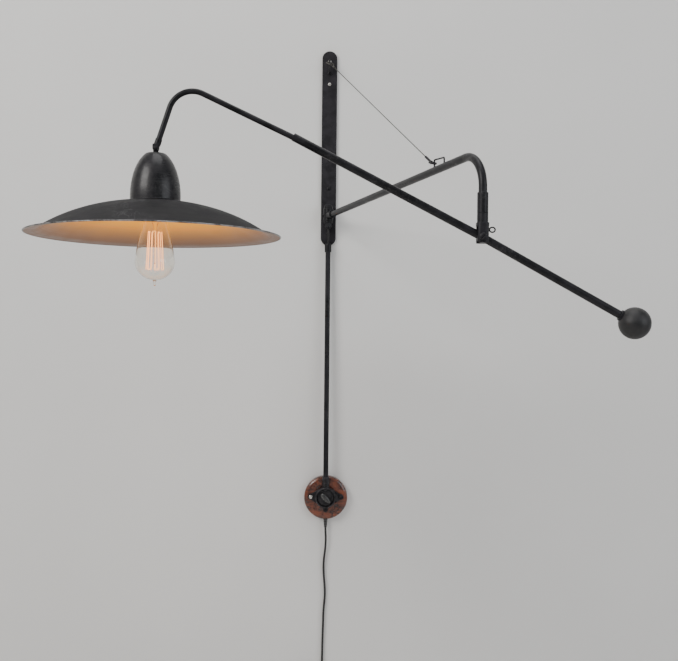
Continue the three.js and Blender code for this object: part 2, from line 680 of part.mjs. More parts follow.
function tipPieces() {
  const [x, z] = tipEnd();
  const cheeks = turned(bar(4.6, -5.4, 5.4), 16, Y);
  const shoulder = box(9.2, 10.8, 6, 0, 0, 3.4);
  const socket = turned(bar(6.1, 3, 15), 14, tipDirection());
  const slot = box(20, 4.8, 10.4, 0, 0, -1.2);
  const rodBore = turned(bar(ROD.outer + GAP, 6.6, 20), 12, tipDirection());
  const pinBore = turned(bar(HANG.pin + 0.25, -8, 8), 10, Y);
  const knuckle = carved([cheeks, shoulder, socket], [slot, rodBore, pinBore]);
  const pin = [
    [0, -6.4], [HANG.pin, -6.4], [HANG.pin, 5.7], [2.8, 5.7], [2.8, 6.6], [1.8, 7.2], [0, 7.2],
  ];
  return [
    piece('tip_knuckle', knuckle.translate(x, 0, z), BLACK_STEEL),
    piece('hang_pin', turned(pin, 10, OUT).translate(x, 0, z), NICKEL),
  ];
}

// ---------------------------------------------------------------- lamp, about the hanging pin
// Heights in this section are the row's, moved down to the pin's height by drop().
function drop(z) {
  return z - HANG.z;
}

function lampHanger() {
  const eye = turned(bar(3.9, -2.1, 2.1), 16, Y);
  const tang = box(7.8, 4.2, 8, 0, 0, -4);
  const nipple = turned(bar(4.7, -26, -5.2), 12);
  const bore = turned(bar(HANG.pin + 0.25, -8, 8), 10, Y);
  return piece('lamp_hanger', carved([eye, tang, nipple], [bore]), BLACK_STEEL);
}

function cupProfile(offset) {
  const profile = [];
  const steps = 6;
  const radius = CUP.wide - offset;
  const tall = CUP.tall - offset;
  const top = CUP.top - offset;
  for (let i = 0; i <= steps; i++) {
    const z = CUP.bottom + ((top - CUP.bottom) * i) / steps;
    profile.push([radius * Math.sqrt(Math.max(0, 1 - ((z - CUP.centre) / tall) ** 2)), drop(z)]);
  }
  return profile;
}

function cup() {
  const outside = cupProfile(0);
  const inside = cupProfile(CUP.wall).reverse();
  const hole = 5.1;
  const crown = [[hole, drop(CUP.top)], [hole, drop(CUP.top - CUP.wall)]];
  const profile = [...outside, ...crown, ...inside, outside[0]];
  return piece('cup', turned(profile, 24), BLACK_STEEL);
}

/** The height of the shade's outer face. */
function dome(r) {
  return SHADE.crown - SHADE.sag * r ** 2 - SHADE.steepen * r ** 4;
}

function shade() {
  const { inner, knee, rim, rimZ, wall } = SHADE;
  const radii = [inner, 50, 85, 118, 150, knee];
  const outside = radii.map((r) => [r, dome(r)]);
  const lip = [[knee + 6, dome(knee) - 1.6], [rim, rimZ]];
  const top = [...outside, ...lip];
  const under = top.map(([r, z]) => [r - (r > knee ? wall * 0.55 : 0), z - (r > knee ? wall * 0.8 : wall)]);
  under[under.length - 1] = [rim - 0.9, rimZ - 0.8];
  const profile = [...under, ...top.reverse(), under[0]].map(([r, z]) => [r, drop(z)]);
  return piece('shade', turned(profile, 36), SHADE_STEEL);
}

function lampInside() {
  const under = dome(26) - SHADE.wall - GAP;
  const ring = [[30, under - 4], [30, under - 0.6], [19.6, under], [19.6, under - 4], [30, under - 4]];
  const shell = [
    [19, under - 9], [19, -168], [17.5, -166], [5.1, -166], [5.1, -167.6], [17.4, -167.6], [17.4, under - 9],
    [19, under - 9],
  ];
  const insulator = [[0, -184], [15.8, -184], [15.8, -170], [0, -170]];
  const local = (profile) => profile.map(([r, z]) => [r, drop(z)]);
  return [
    piece('shade_ring', turned(local(ring), 22), BLACK_STEEL),
    piece('lampholder_shell', turned(local(shell), 20), BRASS),
    piece('lampholder_insulator', turned(local(insulator), 16), PORCELAIN),
  ];
}

function bulbOutline(offset) {
  const { wide, wideZ, bottomZ, neckZ } = BULB;
  const shoulder = 12.6;
  const profile = [];
  const belly = 5;
  for (let i = 1; i <= belly; i++) {
    const angle = (i / belly) * (Math.PI / 2);
    profile.push([(wide - offset) * Math.sin(angle), wideZ - (wideZ - bottomZ - offset) * Math.cos(angle)]);
  }
  const rise = 5;
  for (let i = 1; i <= rise; i++) {
    const t = i / rise;
    const ease = t * t * (3 - 2 * t);
    profile.push([wide + (shoulder - wide) * (0.35 * t + 0.65 * ease) - offset, wideZ + (neckZ - wideZ) * t]);
  }
  return profile;
}

function bulb() {
  const { cap, glass, tipZ, neckZ } = BULB;
  const outside = bulbOutline(0);
  const inside = bulbOutline(glass).reverse();
  const tip = [[0, tipZ], [1.6, tipZ + 1.4], [2.4, tipZ + 6]];
  const envelope = [...tip, ...outside, ...inside, [0, BULB.bottomZ + 3]];
  const capProfile = [[0, -189], [5.5, -189], [8, -192], [cap, -193]];
  const threads = 5;
  for (let i = 0; i < threads; i++) {
    const z = -195 - i * 4;
    capProfile.push([cap - 1.1, z], [cap, z - 2]);
  }
  capProfile.push([cap, neckZ + GAP], [0, neckZ + GAP]);
  capProfile.reverse();
  const stem = [[0, -316], [1.6, -316], [1.6, -262], [5, -252], [8, -224], [8, neckZ - 1], [0, neckZ - 1]];
  const local = (profile) => profile.map(([r, z]) => [r, drop(z)]);
  return [
    piece('bulb_cap', turned(local(capProfile), 16), BRASS),
    piece('bulb_glass', turned(local(envelope), 20), GLASS),
    piece('bulb_stem', turned(local(stem), 10), GLASS),
    piece('bulb_filament', bulbFilament(), FILAMENT),
  ];
}

/** A fine wire laced up and down round the stem. */
function bulbFilament() {
  const strands = 9;
  const path = new BentPath([[0, 0, 0], [1, 0, 0]], 1);
  path.stations = [];
  for (let i = 0; i < strands; i++) {
    const angle = (i / strands) * 2 * Math.PI * 0.94;
    const [low, high] = [[13.5, drop(-324)], [10.5, drop(-266)]];
    const order = i % 2 === 0 ? [low, high] : [high, low];
    for (const [radius, z] of order) {
      path.stations.push(new THREE.Vector3(radius * Math.cos(angle), radius * Math.sin(angle), z));
    }
  }
  return swept(path, path.steps, 0.45, 0, 5);
}

// ---------------------------------------------------------------- assembly
const LEG_AXIS = new THREE.Vector3(BRACKET.reach, 0, 0).applyAxisAngle(Z, BRACKET.azimuth);
LEG_AXIS.y -= SWING.out;

const sconce = new THREE.Group();
sconce.add(
  wallPlate(), ...plateScrews(), stayHook(), pivotBracket(), pivotPin(), pivotNut(), supplyLead(),
  conduitFerrule(), conduitTube(), woodBase(), switchHousing(), ...switchScrews(), ...switchWorks(),
  switchKnob(), cordBushing(), cordRun(), cordCoil(), cordTie(), ...plug(),
);

const bracket = new THREE.Group();
bracket.position.set(0, -SWING.out, 0);
bracket.rotation.z = BRACKET.azimuth;
bracket.add(
  bracketTube(), bracketKnuckle(), knuckleSetScrew(), stayStaple(), ...stayPieces(), ...legPieces(),
);
sconce.add(bracket);

const armEnd = new THREE.Group();
armEnd.position.set(LEG_AXIS.x, LEG_AXIS.y, PIVOT_Z);
armEnd.add(
  piece('swivel_fork', swivelFork(), BLACK_STEEL),
  piece('pivot_bolt', pivotBolt(), NICKEL),
  piece('pivot_bolt_nut', pivotBoltNut(), BLACK_STEEL),
  piece('ring_bolt', ringBolt(), BLACK_STEEL),
  armHub(), ...armTubes(), extensionRod(), counterweightBall(), ...tipPieces(),
);
sconce.add(armEnd);

const lamp = new THREE.Group();
lamp.position.set(HANG.x, LEG_AXIS.y, HANG.z);
lamp.add(lampHanger(), cup(), shade(), ...lampInside(), ...bulb());
sconce.add(lamp);

export default sconce;
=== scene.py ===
"""Looks of a counterbalanced swing arm wall sconce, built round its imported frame.

Lengths inside the classes are millimetres in the row's frame: the wall is the plane y = 0, the lamp
stands out towards -y, and z is up. Meshes are scaled to metres once, when they are made.
"""

import json
import logging
import math
from dataclasses import dataclass
from enum import Enum

import bmesh
import bpy
import numpy as np
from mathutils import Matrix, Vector

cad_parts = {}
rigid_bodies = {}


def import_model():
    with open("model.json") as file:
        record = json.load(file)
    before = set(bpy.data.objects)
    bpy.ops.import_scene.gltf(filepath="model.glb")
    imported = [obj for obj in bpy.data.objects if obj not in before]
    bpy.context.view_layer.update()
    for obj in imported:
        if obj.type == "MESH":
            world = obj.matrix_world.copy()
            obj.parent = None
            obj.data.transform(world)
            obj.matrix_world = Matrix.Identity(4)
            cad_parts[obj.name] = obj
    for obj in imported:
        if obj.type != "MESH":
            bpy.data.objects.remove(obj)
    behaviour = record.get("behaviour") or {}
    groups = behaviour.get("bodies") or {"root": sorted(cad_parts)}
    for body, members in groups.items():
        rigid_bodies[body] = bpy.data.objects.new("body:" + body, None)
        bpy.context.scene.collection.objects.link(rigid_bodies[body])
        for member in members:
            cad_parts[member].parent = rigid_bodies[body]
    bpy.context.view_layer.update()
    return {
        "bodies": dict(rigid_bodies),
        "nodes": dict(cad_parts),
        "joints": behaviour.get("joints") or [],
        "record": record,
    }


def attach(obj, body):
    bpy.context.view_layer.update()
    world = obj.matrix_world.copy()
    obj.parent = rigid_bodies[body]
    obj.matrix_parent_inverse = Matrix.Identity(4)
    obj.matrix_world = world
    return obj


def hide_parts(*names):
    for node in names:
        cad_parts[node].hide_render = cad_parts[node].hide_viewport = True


LOG = logging.getLogger("sconce")
MM = 0.001
UP = np.array((0.0, 0.0, 1.0))
OUT = np.array((0.0, -1.0, 0.0))
RIGHT = np.array((1.0, 0.0, 0.0))
INWARD = np.array((0.0, 1.0, 0.0))
SHARP = math.radians(34)
DUST_COLOUR = (0.25, 0.235, 0.215)
COAT_ROUGHNESS = 0.12
Array = np.ndarray
Node = bpy.types.Node
Object = bpy.types.Object
Material = bpy.types.Material
Socket = bpy.types.NodeSocket
Tree = bpy.types.NodeTree


# ------------------------------------------------------------------------------ places
def unit(vector: Array) -> Array:
    """The vector over its own length."""
    vector = np.asarray(vector, dtype=float)
    return vector / np.linalg.norm(vector)


def place(x: float, y: float, z: float) -> Array:
    """A point in the row's frame."""
    return np.array((x, y, z), dtype=float)


class Layout:
    """The places that the sub-assemblies share, read from the frame's joints."""

    def __init__(self, joints: list[dict]) -> None:
        """Reads the joints' axes.

        Args:
            joints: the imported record's joints.
        """
        places = {joint["name"]: np.array(joint["pos_m"]) / MM for joint in joints}
        self.swing = places["bracket_swing"]
        self.pivot = places["arm_tilt"]
        self.hang = places["lamp_hang"]
        reach = self.pivot - self.swing
        self.reach = float(math.hypot(reach[0], reach[1]))
        self.along = place(reach[0], reach[1], 0) / self.reach

    def bracket(self, out: float, z: float) -> Array:
        """A point in the bracket's upright plane, a distance out from the swing axis, at a height."""
        point = self.swing + self.along * out
        point[2] = z
        return point

    def leg(self, z: float) -> Array:
        """A point on the bracket's upright leg."""
        return place(self.pivot[0], self.pivot[1], z)

    def arm(self, x: float, z: float) -> Array:
        """A point in the arm's plane, measured from the arm's pivot."""
        return self.pivot + place(x, 0, z)

    def lamp(self, z: float) -> Array:
        """A point on the lamp's axis, at a height in the row's frame."""
        return place(self.hang[0], self.hang[1], z)


# ------------------------------------------------------------------------------ profiles and paths
def rounded(profile: list, radius: float, steps: int = 4) -> list:
    """Rounds a closed profile's corners.

    A corner c between points cut back along its sides, a and b, becomes the parabola
    (1-t)^2 a + 2t(1-t) c + t^2 b. Corners on the axis stay sharp.

    Args:
        profile: (radius, height) corners, in order.
        radius: how far a corner is cut back.
        steps: points in each rounding.
    Returns:
        The rounded profile.
    """
    points = np.array(profile, dtype=float)
    t = np.linspace(0, 1, steps)[:, None]
    result = []
    for index, corner in enumerate(points):
        before, after = points[index - 1] - corner, points[(index + 1) % len(points)] - corner
        if corner[0] < 1e-6:
            result.append(tuple(corner))
            continue
        reach = min(radius, 0.3 * np.linalg.norm(before), 0.3 * np.linalg.norm(after))
        start, end = corner + unit(before) * reach, corner + unit(after) * reach
        curve = (1 - t) ** 2 * start + 2 * t * (1 - t) * corner + t**2 * end
        result.append(tuple(corner + unit(before) * reach * 1.4))
        result.extend(tuple(point) for point in curve)
        result.append(tuple(corner + unit(after) * reach * 1.4))
    return result


def eased(points: list, count: int) -> Array:
    """A smooth line through a few points: a Catmull-Rom curve sampled evenly in its parameter.

    Args:
        points: the known points, of any dimension.
        count: how many points to return.
    Returns:
        The sampled line, (count, dimension).
    """
    known = np.array(points, dtype=float)
    padded = np.vstack([2 * known[0] - known[1], known, 2 * known[-1] - known[-2]])
    spot = np.linspace(0, len(known) - 1, count)
    index = np.minimum(spot.astype(int), len(known) - 2)
    t = (spot - index)[:, None]
    a, b, c, d = (padded[index + k] for k in range(4))
    return 0.5 * (2 * b + (c - a) * t + (2 * a - 5 * b + 4 * c - d) * t**2 + (3 * b - a - 3 * c + d) * t**3)


def bent_line(corners: list, radius: float, per_bend: int = 16) -> Array:
    """Straight runs joined by round bends.

    In a bend of total turn w, the spoke from its centre goes from f to l as
    (sin((1-t)w) f + sin(tw) l) / sin(w).

    Args:
        corners: the runs' meeting points, with both ends.
        radius: the bends' radius on the centreline.
        per_bend: points in each bend.
    Returns:
        The line, (n, 3).
    """
    corners = [np.asarray(corner, dtype=float) for corner in corners]
    t = np.linspace(0, 1, per_bend)[:, None]
    points = [corners[0][None]]
    for before, corner, after in zip(corners, corners[1:], corners[2:]):
        u, v = unit(before - corner), unit(after - corner)
        half = math.acos(float(np.clip(u @ v, -1, 1))) / 2
        centre = corner + unit(u + v) * radius / math.sin(half)
        first = corner + u * radius / math.tan(half) - centre
        last = corner + v * radius / math.tan(half) - centre
        turn = math.pi - 2 * half
        points.append(centre + (np.sin((1 - t) * turn) * first + np.sin(t * turn) * last) / math.sin(turn))
    points.append(corners[-1][None])
    return np.concatenate(points)


def square_to(axis: Array) -> tuple[Array, Array]:
    """Two unit vectors square to a unit axis and to each other."""
    helper = RIGHT if abs(axis[0]) < 0.8 else INWARD
    first = unit(np.cross(helper, axis))
    return first, np.cross(axis, first)


def circle(count: int) -> Array:
    """Angles round a full circle, without the repeated last one."""
    return np.linspace(0, 2 * math.pi, count, endpoint=False)


# ------------------------------------------------------------------------------ meshes
def new_object(name: str, points: Array, faces: list) -> Object:
    """Puts points and faces in a new smooth object at the origin, its normals turned outwards.

    Args:
        name: the piece's name.
        points: (n, 3) in millimetres.
        faces: lists of point numbers.
    Returns:
        The object, linked to the scene.
    """
    mesh = bpy.data.meshes.new(name)
    mesh.from_pydata((points * MM).tolist(), [], faces)
    work = bmesh.new()
    work.from_mesh(mesh)
    bmesh.ops.remove_doubles(work, verts=work.verts, dist=2e-7)
    bmesh.ops.recalc_face_normals(work, faces=work.faces)
    work.to_mesh(mesh)
    work.free()
    mesh.shade_smooth()
    mesh.set_sharp_from_angle(angle=math.radians(42))
    item = bpy.data.objects.new(name, mesh)
    bpy.context.scene.collection.objects.link(item)
    return item


def closed_grid(name: str, grid: Array, wrap_rows: bool = False) -> Object:
    """A closed surface from a grid whose columns close on themselves.

    Args:
        name: the piece's name.
        grid: (rows, columns, 3) points.
        wrap_rows: whether the rows close as well; if not, the first and last are capped.
    Returns:
        The new object.
    """
    rows, columns = grid.shape[:2]
    last = rows if wrap_rows else rows - 1
    i, j = np.meshgrid(np.arange(last), np.arange(columns), indexing="ij")
    below, beside = (i + 1) % rows, (j + 1) % columns
    corners = [i * columns + j, i * columns + beside, below * columns + beside, below * columns + j]
    faces = np.stack([corner.ravel() for corner in corners], axis=1).tolist()
    if not wrap_rows:
        faces.append(list(range(columns))[::-1])
        faces.append([(rows - 1) * columns + k for k in range(columns)])
    return new_object(name, grid.reshape(-1, 3), faces)


def revolved(name: str, profile: list, at: Array, axis: Array = UP,
             sides: int = 64) -> Object:
    """A profile turned about an axis: point = at + h*axis + r*(cos a * u + sin a * v).

    Args:
        name: the piece's name.
        profile: (r, h) pairs; both ends lie on the axis, or the profile closes on itself.
        at: where h = 0 lies.
        axis: the direction in which h grows.
        sides: points round the axis.
    Returns:
        The new object.
    """
    line = np.array(profile, dtype=float)
    open_ends = line[0, 0] < 1e-6 and line[-1, 0] < 1e-6
    axis = unit(axis)
    u, v = square_to(axis)
    angle = circle(sides)[:, None]
    ring = np.cos(angle) * u + np.sin(angle) * v
    grid = at + line[:, None, 1:] * axis + line[:, None, :1] * ring[None]
    return closed_grid(name, grid, wrap_rows=not open_ends)


def swept(name: str, path: Array, radius: float, normal: Array, bore: float = 0.0,
          sides: int = 32) -> Object:
    """A round bar, or a tube if it has a bore, along a path: point = p + r*(cos a * n + sin a * b).

    Args:
        name: the piece's name.
        path: (n, 3) points.
        radius: the outer radius.
        normal: a direction that the path never follows, from which n is made square to it.
        bore: the inner radius.
        sides: points round the section.
    Returns:
        The new object.
    """
    tangent = np.gradient(path, axis=0)
    tangent /= np.linalg.norm(tangent, axis=1)[:, None]
    first = normal - tangent * (tangent @ normal)[:, None]
    first /= np.linalg.norm(first, axis=1)[:, None]
    second = np.cross(tangent, first)
    angle = circle(sides)[None, :, None]
    ring = np.cos(angle) * first[:, None] + np.sin(angle) * second[:, None]
    outer = path[:, None] + radius * ring
    if bore <= 0:
        return closed_grid(name, outer)
    return closed_grid(name, np.concatenate([outer, path[::-1, None] + bore * ring[::-1]]), wrap_rows=True)


def between(name: str, start: Array, end: Array, radius: float, bore: float = 0.0,
            edge: float = 0.5, sides: int = 40) -> Object:
    """A straight bar or tube with rounded rims from one point to another."""
    length = float(np.linalg.norm(end - start))
    if bore > 0:
        profile = [(radius, 0), (radius, length), (bore, length), (bore, 0)]
    else:
        profile = [(0, 0), (radius, 0), (radius, length), (0, length)]
    return revolved(name, rounded(profile, edge), start, end - start, sides)


def ring(name: str, at: Array, u: Array, v: Array, radii: tuple[float, float],
         wire: float) -> Object:
    """An oval ring of round wire: its centreline is at + a cos t * u + b sin t * v.

    Args:
        name: the piece's name.
        at: the ring's centre.
        u: the first direction across it.
        v: the second, square to u.
        radii: a and b.
        wire: the wire's radius.
    Returns:
        The new object.
    """
    t = circle(56)[:, None]
    line = radii[0] * np.cos(t) * u + radii[1] * np.sin(t) * v
    outward = radii[1] * np.cos(t) * u + radii[0] * np.sin(t) * v
    outward /= np.linalg.norm(outward, axis=1)[:, None]
    angle = circle(16)[None, :, None]
    section = np.cos(angle) * outward[:, None] + np.sin(angle) * np.cross(u, v)
    return closed_grid(name, at + line[:, None] + wire * section, wrap_rows=True)


def slab(name: str, outline: Array, at: Array, axes: tuple, depth: tuple[float, float],
         edge: float, both: bool = True) -> Object:
    """A flat outline given thickness, with its rims rounded by a quarter circle.

    Each row is the outline moved inwards by e(1 - sin a) at depth e(1 - cos a) from the face.

    Args:
        name: the piece's name.
        outline: (n, 2) points, anticlockwise.
        at: the outline's origin.
        axes: the outline's two directions and the direction of thickness.
        depth: where the thickness starts and ends, along the third axis.
        edge: the rounding's radius.
        both: whether the starting rim is rounded as well.
    Returns:
        The new object.
    """
    u, v, w = (unit(axis) for axis in axes)
    tangent = np.roll(outline, -1, axis=0) - np.roll(outline, 1, axis=0)
    inwards = np.stack([-tangent[:, 1], tangent[:, 0]], axis=1)
    inwards /= np.linalg.norm(inwards, axis=1)[:, None]
    quarter = np.linspace(0, math.pi / 2, 5)
    rim = [(edge * (1 - math.sin(a)), edge * (1 - math.cos(a))) for a in quarter]
    start = rim if both else [(0.0, 0.0)]
    rows = [(inset, depth[0] + rise) for inset, rise in start]
    rows += [(inset, depth[1] - rise) for inset, rise in reversed(rim)]
    rows.insert(0, (rows[0][0] + edge, rows[0][1]))
    rows.append((rows[-1][0] + edge, rows[-1][1]))
    insets = np.array(rows)[:, 0]
    depths = np.array(rows)[:, 1]
    flat = outline[None] + insets[:, None, None] * inwards[None]
    grid = at + flat[..., :1] * u + flat[..., 1:] * v + depths[:, None, None] * w
    return closed_grid(name, grid)


def stadium(half: float, end: float, count: int = 24) -> Array:
    """An upright outline with round ends: two half circles of one radius about (0, end), (0, -end)."""
    a = np.linspace(0, math.pi, count)
    top = np.stack([half * np.cos(a), end + half * np.sin(a)], axis=1)
    return np.concatenate([top, -top])


def soft_box(wide: float, tall: float, corner: float, count: int = 7) -> Array:
    """A rectangle about the origin with round corners."""
    a = np.linspace(0, math.pi / 2, count)
    parts = []
    for index, (sx, sz) in enumerate(((1, 1), (-1, 1), (-1, -1), (1, -1))):
        centre = np.array((sx * (wide / 2 - corner), sz * (tall / 2 - corner)))
        turned = a + index * math.pi / 2
        parts.append(centre + corner * np.stack([np.cos(turned), np.sin(turned)], axis=1))
    return np.concatenate(parts)


def laid_wire(name: str, path: Array, radius: float, normal: Array, lay: float,
              strands: int = 7) -> Object:
    """A twisted wire rope: r(c) = R(0.8 + 0.2|cos(n c / 2)|), its columns turned by 2 pi s / lay.

    Args:
        name: the piece's name.
        path: (n, 3) closely spaced points.
        radius: the rope's outer radius R.
        normal: a direction that the path never follows.
        lay: the length along the rope of one full turn.
        strands: the number n of strands that show.
    Returns:
        The new object.
    """
    tangent = np.gradient(path, axis=0)
    tangent /= np.linalg.norm(tangent, axis=1)[:, None]
    first = normal - tangent * (tangent @ normal)[:, None]
    first /= np.linalg.norm(first, axis=1)[:, None]
    second = np.cross(tangent, first)
    column = circle(strands * 4)
    size = radius * (0.8 + 0.2 * np.abs(np.cos(strands * column / 2)))
    gone = np.concatenate([[0], np.cumsum(np.linalg.norm(np.diff(path, axis=0), axis=1))])
    angle = column[None] + (2 * math.pi * gone / lay)[:, None]
    grid = path[:, None] + (size * np.cos(angle))[..., None] * first[:, None]
    return closed_grid(name, grid + (size * np.sin(angle))[..., None] * second[:, None])


def even_line(start: Array, end: Array, step: float) -> Array:
    """Evenly spaced points from one end of a line to the other."""
    count = max(2, int(np.linalg.norm(end - start) / step) + 1)
    return start + (end - start) * np.linspace(0, 1, count)[:, None]


class Drive(Enum):
    """The recess in a screw's head."""

    SLOT = "slot"
    CROSS = "cross"


@dataclass(frozen=True)
class Screw:
    """A domed screw: its head's radius and rise, its shank, and its drive."""

    head: float
    rise: float
    shank: float
    length: float
    drive: Drive = Drive.SLOT

    def build(self, name: str, at: Array, axis: Array, turn: float = 0.4) -> Object:
        """The head is a height over a polar grid: h = rise * sqrt(1 - 0.75(r/R)^2) less the recess.

        Args:
            name: the piece's name.
            at: where the head seats.
            axis: the way the head faces.
            turn: how far the recess is turned, in radians.
        Returns:
            The new object.
        """
        u, v = square_to(axis)
        share = np.concatenate([np.linspace(0.0, 0.94, 24), [0.97, 1.0, 1.0]])
        angle = circle(72)
        x = self.head * share[:, None] * np.cos(angle + turn)
        y = self.head * share[:, None] * np.sin(angle + turn)
        soft = 22 / self.head
        cut = 1 / (1 + np.exp((np.abs(y) - 0.14 * self.head) * soft))
        if self.drive is Drive.CROSS:
            other = 1 / (1 + np.exp((np.abs(x) - 0.14 * self.head) * soft))
            cut = np.maximum(cut, other) / (1 + np.exp((np.hypot(x, y) - 0.55 * self.head) * soft))
        height = self.rise * (np.sqrt(1 - 0.75 * share**2)[:, None] - 0.45 * cut)
        height[-1] = 0.0
        flat = np.cos(angle)[:, None] * u + np.sin(angle)[:, None] * v
        head = at + self.head * share[:, None, None] * flat + height[..., None] * axis
        shank = np.stack([at + self.shank * flat - depth * axis for depth in (0.0, self.length)])
        return closed_grid(name, np.concatenate([head, shank]))


# ------------------------------------------------------------------------------ shader groups
class Net:
    """Adds nodes to a tree and joins them."""

    def __init__(self, tree: Tree) -> None:
        """Keeps the tree."""
        self.tree = tree

    def put(self, value: object, into: Socket) -> None:
        """Joins a socket to an input, or sets the input to a number, vector or colour."""
        if isinstance(value, Socket):
            self.tree.links.new(value, into)
        elif into.type == "RGBA":
            into.default_value = (*tuple(value)[:3], 1.0)
        else:
            into.default_value = value

    def node(self, kind: str, settings: dict | None = None, **inputs: object) -> Node:
        """A node with its settings, and its inputs by name; an underscore stands for a space."""
        item = self.tree.nodes.new(kind)
        for name, value in (settings or {}).items():
            setattr(item, name, value)
        for name, value in inputs.items():
            self.put(value, item.inputs[name.replace("_", " ")])
        return item

    def math(self, operation: str, *values: object) -> Socket:
        """The result of a Math node."""
        item = self.node("ShaderNodeMath", {"operation": operation})
        for value, socket in zip(values, item.inputs):
            self.put(value, socket)
        return item.outputs[0]

    def mix(self, factor: object, a: object, b: object, blend: str = "MIX") -> Socket:
        """A mix of two colours."""
        item = self.node("ShaderNodeMix", {"data_type": "RGBA", "blend_type": blend})
        for value, index in ((factor, 0), (a, 6), (b, 7)):
            self.put(value, item.inputs[index])
        return item.outputs[2]

    def spread(self, value: object, low: object, high: object, to_low: object = 0.0,
               to_high: object = 1.0) -> Socket:
        """A value carried from one range to another with soft ends."""
        item = self.node("ShaderNodeMapRange", {"interpolation_type": "SMOOTHSTEP"})
        for index, entry in enumerate((value, low, high, to_low, to_high)):
            self.put(entry, item.inputs[index])
        return item.outputs[0]

    def noise(self, vector: object, scale: object, detail: float = 4.0, rough: float = 0.55,
              bend: float = 0.0) -> Socket:
        """Fractal noise, about 0.5."""
        return self.node("ShaderNodeTexNoise", None, Vector=vector, Scale=scale, Detail=detail,
                         Roughness=rough, Distortion=bend).outputs["Fac"]

    def use(self, group: Tree, **inputs: object) -> Node:
        """Places a shared group with its own values."""
        item = self.tree.nodes.new("ShaderNodeGroup")
        item.node_tree = group
        for name, value in inputs.items():
            self.put(value, item.inputs[name.replace("_", " ")])
        return item


